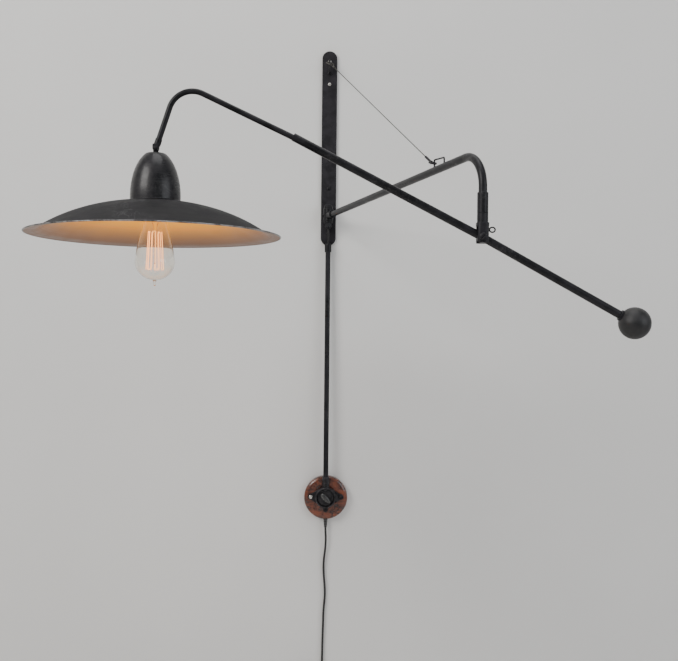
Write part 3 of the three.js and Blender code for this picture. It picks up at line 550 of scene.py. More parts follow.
class Groups:
    """The shader node groups that the finishes share, each built once."""

    def __init__(self) -> None:
        """Builds every group."""
        self.patches = self._patches()
        self.turned = self._turned()
        self.worn = self._worn()
        self.scuffs = self._scuffs()
        self.dust = self._dust()

    @staticmethod
    def _start(name: str, inputs: dict, outputs: dict) -> tuple:
        """An empty group with its sockets, given as names and types.

        Returns:
            The group, its net, its input node and its output node.
        """
        group = bpy.data.node_groups.new(name, "ShaderNodeTree")
        for direction, sockets in (("INPUT", inputs), ("OUTPUT", outputs)):
            for title, kind in sockets.items():
                group.interface.new_socket(title, in_out=direction, socket_type="NodeSocket" + kind)
        net = Net(group)
        return group, net, net.node("NodeGroupInput"), net.node("NodeGroupOutput")

    def _patches(self) -> Tree:
        """Cloudy colour and roughness with a fine grain: two noises, coarse and fine."""
        group, net, source, result = self._start(
            "cloudy patches",
            {"Vector": "Vector", "Patches": "Float", "Grain": "Float", "Dark": "Color", "Light": "Color",
             "Smooth": "Float", "Rough": "Float"},
            {"Color": "Color", "Roughness": "Float", "Height": "Float"})
        vector = source.outputs["Vector"]
        cloud = net.noise(vector, source.outputs["Patches"], 5.0, 0.62, 0.4)
        grain = net.noise(vector, source.outputs["Grain"], 3.0, 0.6)
        blend = net.math("ADD", net.math("MULTIPLY", cloud, 0.8), net.math("MULTIPLY", grain, 0.2))
        share = net.spread(blend, 0.38, 0.62)
        net.put(net.mix(share, source.outputs["Dark"], source.outputs["Light"]), result.inputs["Color"])
        rough = net.spread(cloud, 0.35, 0.65, source.outputs["Smooth"], source.outputs["Rough"])
        net.put(rough, result.inputs["Roughness"])
        net.put(grain, result.inputs["Height"])
        return group

    def _turned(self) -> Tree:
        """Fine lines round the z axis: noise of radius and height that hardly changes with angle."""
        group, net, source, result = self._start(
            "turned lines", {"Vector": "Vector", "Lines": "Float"}, {"Line": "Float", "Radius": "Float"})
        parts = net.node("ShaderNodeSeparateXYZ", None, Vector=source.outputs["Vector"])
        x, y, z = parts.outputs
        radius = net.math("SQRT", net.math("ADD", net.math("MULTIPLY", x, x), net.math("MULTIPLY", y, y)))
        lines = source.outputs["Lines"]
        unrolled = net.node("ShaderNodeCombineXYZ", None, X=net.math("MULTIPLY", radius, lines),
                            Y=net.math("MULTIPLY", net.math("MULTIPLY", z, lines), 0.6),
                            Z=net.math("MULTIPLY", x, 14.0))
        net.put(net.noise(unrolled.outputs[0], 1.0, 4.0, 0.7), result.inputs["Line"])
        net.put(radius, result.inputs["Radius"])
        return group

    def _worn(self) -> Tree:
        """A ragged mask that rises from 0 to 1 as a value passes from one limit to another."""
        group, net, source, result = self._start(
            "worn band", {"Value": "Float", "From": "Float", "To": "Float", "Vector": "Vector",
                          "Ragged": "Float", "Scale": "Float"}, {"Mask": "Float"})
        noise = net.noise(source.outputs["Vector"], source.outputs["Scale"], 5.0, 0.65)
        shift = net.math("MULTIPLY", net.math("SUBTRACT", noise, 0.5), source.outputs["Ragged"])
        value = net.math("ADD", source.outputs["Value"], shift)
        mask = net.spread(value, source.outputs["From"], source.outputs["To"])
        net.put(mask, result.inputs["Mask"])
        return group

    def _scuffs(self) -> Tree:
        """Sparse thin marks: the ridge 1 - |2n - 1| of a stretched noise, kept where it is highest."""
        group, net, source, result = self._start(
            "scuffs", {"Vector": "Vector", "Scale": "Float", "Amount": "Float"}, {"Mask": "Float"})
        stretched = net.node("ShaderNodeMapping", None, Vector=source.outputs["Vector"],
                             Rotation=(0.5, 0.9, 0.3), Scale=(1.0, 0.35, 1.0))
        noise = net.noise(stretched.outputs[0], source.outputs["Scale"], 6.0, 0.7, 0.6)
        ridge = net.math("SUBTRACT", 1.0, net.math("ABSOLUTE", net.math("MULTIPLY_ADD", noise, 2.0, -1.0)))
        marks = net.spread(ridge, 0.93, 1.0)
        where = net.spread(net.noise(source.outputs["Vector"], 9.0, 3.0), 0.5, 0.66)
        mask = net.math("MULTIPLY", net.math("MULTIPLY", marks, where), source.outputs["Amount"])
        net.put(mask, result.inputs["Mask"])
        return group

    def _dust(self) -> Tree:
        """Dust where a surface faces up: the normal's z above a limit, broken by noise."""
        group, net, source, result = self._start(
            "settled dust", {"Vector": "Vector", "Amount": "Float"}, {"Mask": "Float"})
        normal = net.node("ShaderNodeNewGeometry").outputs["Normal"]
        height = net.node("ShaderNodeSeparateXYZ", None, Vector=normal).outputs[2]
        facing = net.spread(height, 0.35, 0.95)
        noise = net.spread(net.noise(source.outputs["Vector"], 60.0, 5.0, 0.7), 0.3, 0.75)
        mask = net.math("MULTIPLY", net.math("MULTIPLY", facing, noise), source.outputs["Amount"])
        net.put(mask, result.inputs["Mask"])
        return group


# ------------------------------------------------------------------------------ finishes
Colour = tuple[float, float, float]


@dataclass(frozen=True)
class Finish:
    """A surface: cloudy base colour, roughness, grain, marks and dust, in metres where it has size."""

    name: str
    slot: str
    dark: Colour
    light: Colour
    smooth: float
    rough: float
    metallic: float = 0.0
    patches: float = 35.0
    grain: float = 900.0
    depth: float = 0.00004
    coat: float = 0.0
    scuffs: float = 0.0
    scuff: Colour = (0.30, 0.29, 0.28)
    dust: float = 0.0
    specular: float = 0.5

    def material(self, groups: Groups, centre: Array) -> Material:
        """Builds the material.

        Args:
            groups: the shared shader groups.
            centre: the point, in metres, that turned patterns go round.
        Returns:
            The new material.
        """
        made = bpy.data.materials.new(self.name)
        made.use_nodes = True
        made.node_tree.nodes.clear()
        net = Net(made.node_tree)
        vector = net.node("ShaderNodeTexCoord").outputs["Object"]
        shader = net.node("ShaderNodeBsdfPrincipled")
        base = net.use(groups.patches, Vector=vector, Patches=self.patches, Grain=self.grain, Dark=self.dark,
                       Light=self.light, Smooth=self.smooth, Rough=self.rough)
        colour, rough, height = (base.outputs[k] for k in ("Color", "Roughness", "Height"))
        if self.scuffs > 0:
            mask = net.use(groups.scuffs, Vector=vector, Scale=70.0, Amount=self.scuffs).outputs[0]
            colour = net.mix(mask, colour, self.scuff)
        shader.inputs["Metallic"].default_value = self.metallic
        shader.inputs["Coat Weight"].default_value = self.coat
        shader.inputs["Coat Roughness"].default_value = COAT_ROUGHNESS
        shader.inputs["Specular IOR Level"].default_value = self.specular
        colour, rough, height = self.detail(net, shader, groups, vector, centre, (colour, rough, height))
        if self.dust > 0:
            mask = net.use(groups.dust, Vector=vector, Amount=self.dust).outputs[0]
            colour = net.mix(mask, colour, DUST_COLOUR)
            rough = net.math("MULTIPLY_ADD", mask, 0.3, rough)
        bump = net.node("ShaderNodeBump", None, Strength=1.0, Distance=self.depth, Height=height)
        net.put(colour, shader.inputs["Base Color"])
        net.put(rough, shader.inputs["Roughness"])
        net.put(bump.outputs[0], shader.inputs["Normal"])
        output = net.node("ShaderNodeOutputMaterial")
        net.put(shader.outputs[0], output.inputs["Surface"])
        return made

    def detail(self, net: Net, shader: Node, groups: Groups, vector: Socket,
               centre: Array, surface: tuple) -> tuple:
        """What a finish adds of its own; a plain one adds nothing.

        Args:
            net: the material's tree.
            shader: its shader node.
            groups: the shared groups.
            vector: Object coordinates.
            centre: the point that turned patterns go round.
            surface: colour, roughness and height sockets.
        Returns:
            The new colour, roughness and height.
        """
        return surface


@dataclass(frozen=True)
class TurnedFinish(Finish):
    """A finish with lines round an upright axis, as spinning leaves."""

    lines: float = 900.0
    line_colour: Colour = (0.10, 0.10, 0.105)
    line_share: float = 0.4
    line_rough: float = 0.14

    def detail(self, net: Net, shader: Node, groups: Groups, vector: Socket,
               centre: Array, surface: tuple) -> tuple:
        """Adds the lines to the colour, roughness and height."""
        colour, rough, height = surface
        shifted = net.node("ShaderNodeMapping", None, Vector=vector, Location=tuple(-centre))
        turned = net.use(groups.turned, Vector=shifted.outputs[0], Lines=self.lines)
        line = net.spread(turned.outputs["Line"], 0.42, 0.7)
        colour = net.mix(net.math("MULTIPLY", line, self.line_share), colour, self.line_colour)
        rough = net.math("MULTIPLY_ADD", line, self.line_rough, rough)
        height = net.math("ADD", net.math("MULTIPLY", height, 0.4), turned.outputs["Line"])
        return self.band(net, shader, groups, shifted.outputs[0], turned.outputs["Radius"],
                         (colour, rough, height))

    def band(self, net: Net, shader: Node, groups: Groups, vector: Socket,
             radius: Socket, surface: tuple) -> tuple:
        """What depends on the radius; a plain turned finish has nothing."""
        return surface


@dataclass(frozen=True)
class WornRimFinish(TurnedFinish):
    """A turned finish that is rubbed bare towards its rim."""

    rim: float = 0.195
    bare: Colour = (0.36, 0.35, 0.34)

    def band(self, net: Net, shader: Node, groups: Groups, vector: Socket,
             radius: Socket, surface: tuple) -> tuple:
        """Mixes in bare metal by a ragged mask of the radius, strong at the lip and faint inside it."""
        colour, rough, height = surface
        lip = net.use(groups.worn, Value=radius, From=self.rim - 0.0055, To=self.rim - 0.0012, Vector=vector,
                      Ragged=0.006, Scale=45.0).outputs[0]
        haze = net.use(groups.worn, Value=radius, From=self.rim - 0.075, To=self.rim - 0.004, Vector=vector,
                       Ragged=0.09, Scale=12.0).outputs[0]
        mask = net.math("MAXIMUM", net.math("MULTIPLY", lip, 0.75), net.math("MULTIPLY", haze, 0.03))
        colour = net.mix(mask, colour, self.bare)
        return colour, net.math("SUBTRACT", rough, net.math("MULTIPLY", lip, 0.08)), height


@dataclass(frozen=True)
class PaintedGlowLiningFinish(TurnedFinish):
    """The shade's underside: painted bulb light, warm and bright near the bulb with a painted glow, fading to
    dusty pink at the rim.
    """

    # near is painted bulb light, the lining lit gold round the bulb; far is the lining's dusty pink at the
    # rim.
    near: Colour = (0.86, 0.33, 0.014)
    far: Colour = (0.24, 0.145, 0.105)
    glow: float = 1.05

    def band(self, net: Net, shader: Node, groups: Groups, vector: Socket,
             radius: Socket, surface: tuple) -> tuple:
        """Painted bulb light: colour from the near tone to the far one by radius, with a painted glow
        (emission) that falls off faster.
        """
        colour, rough, height = surface
        fade = net.use(groups.worn, Value=radius, From=0.115, To=0.186, Vector=vector, Ragged=0.012,
                       Scale=14.0).outputs[0]
        painted_glow_colour = net.mix(fade, self.near, self.far)
        colour = net.mix(0.9, colour, painted_glow_colour)
        fall = net.spread(radius, 0.08, 0.185, 1.0, 0.05)
        net.put(net.mix(fall, (0.0, 0.0, 0.0), painted_glow_colour), shader.inputs["Emission Color"])
        shader.inputs["Emission Strength"].default_value = self.glow
        return colour, rough, height


@dataclass(frozen=True)
class LacquerFinish(Finish):
    """Stained wood under lacquer: rings stretched along the grain, with darker blotches."""

    vein: Colour = (0.014, 0.004, 0.003)

    def detail(self, net: Net, shader: Node, groups: Groups, vector: Socket,
               centre: Array, surface: tuple) -> tuple:
        """Darkens the colour in wavy veins along x: a sine of bent z."""
        colour, rough, height = surface
        grain = net.node("ShaderNodeMapping", None, Vector=vector, Scale=(9.0, 60.0, 120.0))
        vein = net.noise(grain.outputs[0], 1.4, 6.0, 0.6, 1.2)
        share = net.math("MULTIPLY", net.spread(vein, 0.46, 0.66), 0.5)
        colour = net.mix(share, colour, self.vein)
        return colour, rough, net.math("ADD", net.math("MULTIPLY", height, 0.3), vein)


@dataclass(frozen=True)
class BraidFinish(Finish):
    """A braided cloth sheath: crossing ribs over the curve's own length and girth."""

    along: float = 420.0
    around: float = 9.0

    def detail(self, net: Net, shader: Node, groups: Groups, vector: Socket,
               centre: Array, surface: tuple) -> tuple:
        """Height max(sin 2pi(a u + n v), sin 2pi(a u - n v)), with painted shade: the colour darker between
        the ribs.
        """
        colour, rough, _ = surface
        uv = net.node("ShaderNodeTexCoord").outputs["UV"]
        parts = net.node("ShaderNodeSeparateXYZ", None, Vector=uv)
        u = net.math("MULTIPLY", parts.outputs[0], 2 * math.pi * self.along)
        v = net.math("MULTIPLY", parts.outputs[1], 2 * math.pi * self.around)
        rib = net.math("MAXIMUM", net.math("SINE", net.math("ADD", u, v)),
                       net.math("SINE", net.math("SUBTRACT", u, v)))
        # Painted shade: the colour is multiplied darker in the troughs between the ribs.
        shade = net.spread(rib, -0.2, 1.0, 0.45, 1.0)
        tone = net.node("ShaderNodeCombineColor", None, Red=shade, Green=shade, Blue=shade)
        return net.mix(1.0, colour, tone.outputs[0], "MULTIPLY"), rough, rib


@dataclass(frozen=True)
class GlassFinish(Finish):
    """Clear blown glass with a faint waviness."""

    def detail(self, net: Net, shader: Node, groups: Groups, vector: Socket,
               centre: Array, surface: tuple) -> tuple:
        """Lets light through."""
        shader.inputs["Transmission Weight"].default_value = 1.0
        shader.inputs["IOR"].default_value = 1.45
        return surface


@dataclass(frozen=True)
class GlowFinish(Finish):
    """A hot wire, a little uneven along its length."""

    hot: Colour = (1.0, 0.42, 0.13)
    strength: float = 3.6

    def detail(self, net: Net, shader: Node, groups: Groups, vector: Socket,
               centre: Array, surface: tuple) -> tuple:
        """Gives off light, brighter and dimmer with noise."""
        share = net.spread(net.noise(vector, 60.0, 3.0), 0.3, 0.7, 0.6, 1.0)
        net.put(net.mix(share, (0.90, 0.20, 0.04), self.hot), shader.inputs["Emission Color"])
        shader.inputs["Emission Strength"].default_value = self.strength
        return surface


BLACK = Finish(
    "satin_black_steel", "black_steel", dark=(0.007, 0.007, 0.008), light=(0.018, 0.017, 0.020),
    smooth=0.32, rough=0.46, metallic=0.1, patches=40.0, grain=1100.0, depth=0.00003, scuffs=0.12,
    dust=0.02, specular=0.22)
TUBING = Finish(
    "drawn_black_tube", "black_steel", dark=(0.007, 0.007, 0.008), light=(0.019, 0.018, 0.021),
    smooth=0.27, rough=0.38, metallic=0.1, patches=26.0, grain=900.0, depth=0.00002, scuffs=0.10,
    dust=0.02, specular=0.22)
PLATE = Finish(
    "aged_plate_steel", "plate_steel", dark=(0.010, 0.009, 0.011), light=(0.024, 0.022, 0.026),
    smooth=0.48, rough=0.64, metallic=0.4, patches=55.0, grain=800.0, depth=0.00004, scuffs=0.15,
    scuff=(0.14, 0.13, 0.13), specular=0.35)
WEIGHT = Finish(
    "matte_cast_weight", "weight_iron", dark=(0.007, 0.007, 0.007), light=(0.018, 0.017, 0.018),
    smooth=0.40, rough=0.56, metallic=0.1, patches=45.0, grain=700.0, depth=0.00007, scuffs=0.12,
    dust=0.05)
CUP = TurnedFinish(
    "burnished_cup", "shade_metal", dark=(0.008, 0.008, 0.009), light=(0.022, 0.020, 0.022),
    smooth=0.26, rough=0.34, metallic=0.1, patches=30.0, grain=900.0, depth=0.00003, coat=0.1,
    scuffs=0.06, specular=0.3, line_colour=(0.05, 0.05, 0.052), line_share=0.15)
SHADE_OUT = WornRimFinish(
    "brushed_shade", "shade_metal", dark=(0.008, 0.008, 0.009), light=(0.022, 0.021, 0.023),
    smooth=0.52, rough=0.68, metallic=0.0, patches=22.0, grain=800.0, depth=0.00004, scuffs=0.3,
    scuff=(0.12, 0.12, 0.12), dust=0.02, specular=0.08, line_colour=(0.030, 0.029, 0.031),
    line_share=0.35)
# The lining's warm colour and glow near the bulb are painted bulb light.
SHADE_IN_PAINTED_GLOW = PaintedGlowLiningFinish(
    "shade_lining_painted_glow", "shade_metal", dark=(0.16, 0.10, 0.06), light=(0.26, 0.17, 0.11),
    smooth=0.40, rough=0.54, metallic=0.2, patches=24.0, grain=700.0, depth=0.00004,
    line_colour=(0.40, 0.25, 0.14), line_share=0.2)
SHADE_LIP = Finish(
    "rubbed_lip", "shade_metal", dark=(0.05, 0.05, 0.05), light=(0.34, 0.33, 0.32), smooth=0.28,
    rough=0.44, metallic=0.95, patches=60.0, grain=900.0, depth=0.00004, scuffs=0.5)
NICKEL = Finish(
    "worn_nickel", "nickel", dark=(0.40, 0.38, 0.35), light=(0.68, 0.66, 0.62), smooth=0.22,
    rough=0.36, metallic=1.0, patches=160.0, grain=1400.0, depth=0.00002, scuffs=0.4,
    scuff=(0.16, 0.14, 0.12))
WIRE = Finish(
    "dull_steel_wire", "wire_steel", dark=(0.045, 0.042, 0.038), light=(0.11, 0.105, 0.095),
    smooth=0.34, rough=0.48, metallic=0.9, patches=140.0, grain=1600.0, depth=0.00002)
BRASS = Finish(
    "dull_brass", "brass", dark=(0.32, 0.21, 0.08), light=(0.55, 0.38, 0.15), smooth=0.26,
    rough=0.42, metallic=1.0, patches=120.0, grain=1100.0, depth=0.00003, scuffs=0.4,
    scuff=(0.14, 0.09, 0.04))
IRON = Finish(
    "cast_switch_iron", "switch_iron", dark=(0.014, 0.013, 0.015), light=(0.038, 0.036, 0.040),
    smooth=0.36, rough=0.52, metallic=0.6, patches=90.0, grain=650.0, depth=0.00009, scuffs=0.3,
    scuff=(0.16, 0.15, 0.15))
WOOD = LacquerFinish(
    "lacquered_wood", "switch_wood", dark=(0.030, 0.007, 0.004), light=(0.200, 0.044, 0.013),
    smooth=0.24, rough=0.36, metallic=0.0, patches=75.0, grain=500.0, depth=0.00003, coat=0.5)
PORCELAIN = Finish(
    "glazed_porcelain", "porcelain", dark=(0.70, 0.66, 0.58), light=(0.84, 0.81, 0.74),
    smooth=0.16, rough=0.26, metallic=0.0, patches=60.0, grain=700.0, depth=0.00002, coat=0.6)
PLASTIC = Finish(
    "moulded_black", "black_plastic", dark=(0.006, 0.006, 0.006), light=(0.014, 0.013, 0.013),
    smooth=0.14, rough=0.26, metallic=0.0, patches=60.0, grain=900.0, depth=0.00002, coat=0.7,
    scuffs=0.3, scuff=(0.10, 0.10, 0.10))
CLOTH = BraidFinish(
    "braided_sheath", "cord_sheath", dark=(0.014, 0.013, 0.014), light=(0.040, 0.037, 0.038),
    smooth=0.62, rough=0.80, metallic=0.0, patches=80.0, grain=1200.0, depth=0.00025)
GLASS = GlassFinish(
    "clear_glass", "bulb_glass", dark=(1.0, 0.965, 0.91), light=(1.0, 0.985, 0.95), smooth=0.015,
    rough=0.03, metallic=0.0, patches=40.0, grain=60.0, depth=0.00002)
GLOW = GlowFinish(
    "hot_filament", "filament", dark=(0.9, 0.42, 0.18), light=(1.0, 0.55, 0.28), smooth=0.4,
    rough=0.5)


# ------------------------------------------------------------------------------ the bench
class Bench:
    """Dresses finished pieces, rides them on their bodies and reports them."""

    def __init__(self, frame: dict) -> None:
        """Keeps the frame's nodes, reads its joints, and makes the shared groups."""
        self.nodes = frame["nodes"]
        self.layout = Layout(frame["joints"])
        self.groups = Groups()
        self.materials: dict[str, Material] = {}

    def material(self, finish: Finish) -> Material:
        """The finish's material, made when it is first asked for."""
        if finish.name not in self.materials:
            centre = self.layout.lamp(0.0) * MM
            self.materials[finish.name] = finish.material(self.groups, centre)
        return self.materials[finish.name]

    def fit(self, item: Object, body: str, finish: Finish, *nodes: str) -> Object:
        """Finishes a piece.

        Args:
            item: the piece.
            body: the CAD body that it rides on.
            finish: its finish.
            nodes: the CAD nodes that it stands for.
        Returns:
            The piece.
        """
        item.data.materials.clear()
        item.data.materials.append(self.material(finish))
        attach(item, body)
        if nodes:
            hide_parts(*nodes)
        LOG.info("%s on %s in %s", item.name, body, finish.name)
        return item

    def keep(self, node: str, finish: Finish) -> None:
        """Keeps a CAD node as it is, in a better finish."""
        for entry in self.nodes[node].material_slots:
            entry.material = self.material(finish)
        LOG.info("%s kept in %s", node, finish.name)

    def refined(self, name: str, node: str, bevel: float) -> Object:
        """A welded copy of a CAD node with its flat faces joined and its edges rounded.

        Args:
            name: the piece's name.
            node: the CAD node.
            bevel: the rounding's width.
        Returns:
            The new object.
        """
        mesh = self.nodes[node].data.copy()
        mesh.name = name
        work = bmesh.new()
        work.from_mesh(mesh)
        bmesh.ops.remove_doubles(work, verts=work.verts, dist=2e-6)
        bmesh.ops.dissolve_limit(work, angle_limit=math.radians(0.6), verts=work.verts, edges=work.edges)
        work.to_mesh(mesh)
        work.free()
        mesh.shade_smooth()
        item = bpy.data.objects.new(name, mesh)
        bpy.context.scene.collection.objects.link(item)
        edge = item.modifiers.new("rounded edges", "BEVEL")
        edge.width = bevel * MM
        edge.segments = 2
        edge.limit_method = "ANGLE"
        edge.angle_limit = SHARP
        edge.harden_normals = True
        mesh.set_sharp_from_angle(angle=SHARP)
        return item


# ------------------------------------------------------------------------------ the free cord
@dataclass
class Cord:
    """The cloth-covered lead from the switch base down the wall, coiled and tied, with its plug."""

    radius: float = 2.4
    length: float = 1.8
    exit_at: tuple = (0.0, -9.0, -864.0)
    coil_centre: tuple = (-40.7, -1222.0)
    radii: tuple = (34.7, 29.9, 25.1, 20.3, 20.3, 25.1, 29.9, 34.7)
    back: float = -4.4
    front: float = -9.2
    per_turn: int = 32
    plug_at: tuple = (-6.0, -9.2, -1258.0)
    plug_size: tuple = (24.0, 15.0, 34.0)

    def run(self) -> Array:
        """The listed run from the exit to the coil."""
        return np.array((
            (0, -9, -860), (0, -9, -866), (0.4, -9, -876), (1.1, -8.4, -888), (0.9, -7.4, -902),
            (0.2, -6.3, -915), (-1.6, -5.4, -928), (-3.0, -4.8, -940), (-3.6, -4.4, -954),
            (-3.4, -4.2, -968), (-2.2, -4.1, -982), (-0.9, -4.0, -995), (0, -4.0, -1009),
            (0.1, -4.0, -1022), (-1.0, -4.0, -1036), (-2.3, -4.0, -1050), (-3.0, -4.0, -1064),
            (-3.2, -4.0, -1077), (-3.5, -4.0, -1090), (-3.9, -4.0, -1102), (-4.3, -4.0, -1120),
            (-4.6, -4.0, -1138), (-4.8, -4.0, -1157), (-5.2, -4.1, -1176), (-5.7, -4.2, -1190),
            (-6.0, -4.3, -1206)), dtype=float)

    def coil(self) -> Array:
        """Flat turns going clockwise from the right: back column inwards, then front column outwards.

        Point = centre + r(t)(cos 2 pi t, -sin 2 pi t), with r and y easing from turn to turn in the
        last third of each, and r drawn in a little where the cord crosses to the front column.
        """
        turns = len(self.radii)
        t = np.linspace(0, turns, turns * self.per_turn + 1)
        index = np.minimum(t.astype(int), turns - 1)
        after = np.minimum(index + 1, turns - 1)
        share = np.clip((t - index - 0.6) / 0.38, 0, 1)
        share = share * share * (3 - 2 * share)
        radii = np.array(self.radii)
        depth = np.array([self.back] * (turns // 2) + [self.front] * (turns // 2))
        r = radii[index] + (radii[after] - radii[index]) * share
        y = depth[index] + (depth[after] - depth[index]) * share
        crossing = index == turns // 2 - 1
        r = r - np.where(crossing, 1.5 * np.sin(math.pi * share), 0)
        angle = 2 * math.pi * t
        x = self.coil_centre[0] + r * np.cos(angle)
        return np.stack([x, y, self.coil_centre[1] - r * np.sin(angle)], axis=1)

    def build(self, bench: Bench) -> None:
        """Makes the cord as one curve, with its bushing, tie and plug."""
        tail = np.array([(-6.0, self.front, z) for z in (-1229.0, -1237.0, -1245.0, -1252.0)])
        points = np.concatenate([self.run(), self.coil(), tail])
        curve = bpy.data.curves.new("cord", "CURVE")
        curve.dimensions = "3D"
        curve.bevel_depth = self.radius * MM
        curve.bevel_resolution = 4
        curve.resolution_u = 2
        curve.use_fill_caps = True
        spline = curve.splines.new("NURBS")
        spline.points.add(len(points) - 1)
        homogeneous = np.concatenate([points * MM, np.ones((len(points), 1))], axis=1)
        spline.points.foreach_set("co", homogeneous.astype(np.float32).ravel())
        spline.order_u = 4
        spline.use_endpoint_u = True
        cord = bpy.data.objects.new("cord", curve)
        bpy.context.scene.collection.objects.link(cord)
        bench.fit(cord, "wall", CLOTH, "cord_run", "cord_coil")
        pieces = [self.bushing(bench), self.tie(bench), *self.plug(bench)]

    def bushing(self, bench: Bench) -> Object:
        """The tapered grommet in the base's lower edge, with three soft ribs."""
        z = np.linspace(-864.0, -847.4, 34)
        taper = 3.3 + (z + 864.0) / 16.6 * 1.5 + 0.22 * np.cos((z + 864.0) / 16.6 * 6 * math.pi)
        outside = list(zip(taper, z))
        profile = outside + [(4.9, -845.6), (4.0, -845.4), (4.0, -836.0), (2.7, -836.0), (2.7, -864.0)]
        item = revolved("cord_grommet", profile, place(0, self.exit_at[1], 0), UP, 40)
        return bench.fit(item, "wall", PLASTIC, "cord_bushing")

    def tie(self, bench: Bench) -> Object:
        """The strap round the coil's left side."""
        return bench.fit(bench.refined("coil_strap", "cord_tie", 0.5), "wall", PLASTIC, "cord_tie")

    def plug(self, bench: Bench) -> list[Object]:
        """The plug's body, relief and two blades."""
        wide, thick, tall = self.plug_size
        at = np.array(self.plug_at)
        shoulder = np.linspace(0, 1, 9)[:, None]
        curve = (1 - shoulder) ** 2 * (wide / 2, -10) + 2 * shoulder * (1 - shoulder) * (wide / 2, -2)
        curve = curve + shoulder**2 * (5.0, 0.0)
        corner = np.array([(wide / 2, -tall + 3), (wide / 2, -12)])
        foot = np.array([(9.0, -tall), (11.1, -tall + 0.9)])
        right = np.concatenate([foot, corner, curve])
        outline = np.concatenate([right, (right * (-1, 1))[::-1]])
        axes = (RIGHT, UP, INWARD)
        body = slab("plug_shell", outline, at, axes, (-thick / 2, thick / 2), 2.2)
        z = np.linspace(-2.0, 12.0, 30)
        taper = 4.6 - 0.5 * (z / 12.0) + 0.18 * np.cos(z * 1.9)
        profile = list(zip(taper, z)) + [(2.7, 12.0), (2.7, -2.0)]
        relief = revolved("plug_relief", profile, at, UP, 36)
        result = [bench.fit(body, "wall", PLASTIC, "plug_body"), bench.fit(relief, "wall", PLASTIC)]
        for side, name in ((-1, "left"), (1, "right")):
            centre = at + place(side * 6.35, 0, -tall - 4.5)
            section = soft_box(6.3, 24.0, 1.6)
            blade = slab("blade_" + name, section, centre, (INWARD, UP, RIGHT), (-0.75, 0.75), 0.25)
            result.append(bench.fit(blade, "wall", BRASS, "plug_blade_" + name))
        return result


# ------------------------------------------------------------------------------ on the wall
@dataclass
class WallMount:
    """The plate, its screws, the stay's hook and the fixed half of the swing hinge."""

    half_width: float = 17.0
    end: float = 205.0
    thick: float = 6.0
    screws: tuple = (198.0, 146.0, -92.0, -196.0)
    bright: Screw = Screw(3.5, 1.9, 1.9, 5.0)
    dark: Screw = Screw(4.2, 2.2, 2.1, 5.0)
    out: float = 22.0
    hook_z: float = 171.0
    hook_top: float = 199.0
    ear_top: float = -140.0
    ear_bottom: float = -173.0
    pin: float = 5.7

    def build(self, bench: Bench) -> None:
        """Makes every piece that is fixed to the plate."""
        axes = (RIGHT, UP, OUT)
        plate = slab("backplate", stadium(self.half_width, self.end, 40), place(0, 0, 0), axes,
                     (0.0, self.thick), 1.0, both=False)
        bench.fit(plate, "wall", PLATE, "wall_plate")
        for number, z in enumerate(self.screws, 1):
            at = place(0, -self.thick - 0.3, z)
            screw, finish = (self.bright, NICKEL) if number < 3 else (self.dark, BLACK)
            item = screw.build(f"plate_fixing_{number}", at, OUT, 0.5 + 0.8 * number)
            bench.fit(item, "wall", finish, f"plate_screw_{number}")
        foot = -self.thick - 0.3
        path = bent_line([place(0, foot, self.hook_z), place(0, -self.out, self.hook_z),
                          place(0, -self.out, self.hook_top)], 6.0)
        bench.fit(swept("upright_hook", path, 2.2, RIGHT), "wall", BLACK, "stay_hook")
        flange = [(0, 0), (5.2, 0), (5.2, 0.9), (3.4, 1.9), (0, 1.9)]
        item = revolved("hook_flange", rounded(flange, 0.4), place(0, foot, self.hook_z), OUT, 40)
        bench.fit(item, "wall", BLACK)
        bench.fit(bench.refined("hinge_bracket", "pivot_bracket", 0.7), "wall", BLACK, "pivot_bracket")
        self.hinge_pin(bench)

    def hinge_pin(self, bench: Bench) -> None:
        """The hollow pin with its domed cap, and the nut under the lower ear."""
        seat = self.ear_top + 4.3
        foot, ceiling = self.ear_bottom - 12, self.ear_top - 9
        profile = [(0, seat + 4.6), (4.6, seat + 4.5), (8.0, seat + 3.4), (9.0, seat + 2.4), (9.0, seat),
                   (self.pin, seat), (self.pin, foot), (3.2, foot), (3.2, ceiling), (0, ceiling)]
        item = revolved("hinge_pin", rounded(profile, 0.6), place(0, -self.out, 0), UP, 48)
        bench.fit(item, "wall", BLACK, "pivot_pin")
        bench.fit(bench.refined("hinge_nut", "pivot_nut", 0.5), "wall", BLACK, "pivot_nut")


@dataclass
class Conduit:
    """The tube down the wall, its ferrule, and the lead that goes in at its top."""

    top: tuple = (0.0, -14.0, -226.0)
    bottom: tuple = (0.0, -27.0, -757.0)
    outer: float = 5.75
    inner: float = 4.2
    lead: float = 2.1

    def build(self, bench: Bench) -> None:
        """Makes the tube, ferrule and lead."""
        top, bottom = np.array(self.top), np.array(self.bottom)
        tube = between("down_tube", bottom, top, self.outer, self.inner, 0.4)
        bench.fit(tube, "wall", TUBING, "conduit_tube")
        fit = self.outer + 0.3
        profile = [(fit, -12), (7.6, -12), (7.6, 4.6), (6.6, 7.4), (5.0, 8), (3.4, 8), (3.4, 0.3), (fit, 0.3)]
        ferrule = revolved("tube_ferrule", rounded(profile, 0.7), top, top - bottom, 48)
        bench.fit(ferrule, "wall", BLACK, "conduit_ferrule")
        head = [(0, -22, -155), (0, -22, -168), (0, -22, -181), (0.3, -21.3, -190), (1.0, -19.6, -198),
                (0.9, -17.4, -206.5), (0.2, -15.2, -215), (0, -14.2, -224), (0, -14.4, -236)]
        line = np.concatenate([eased(head, 60), even_line(place(0, -14.9, -260), place(0, -26.9, -768), 60)])
        bench.fit(swept("supply_flex", line, self.lead, RIGHT, sides=20), "wall", CLOTH, "supply_lead")


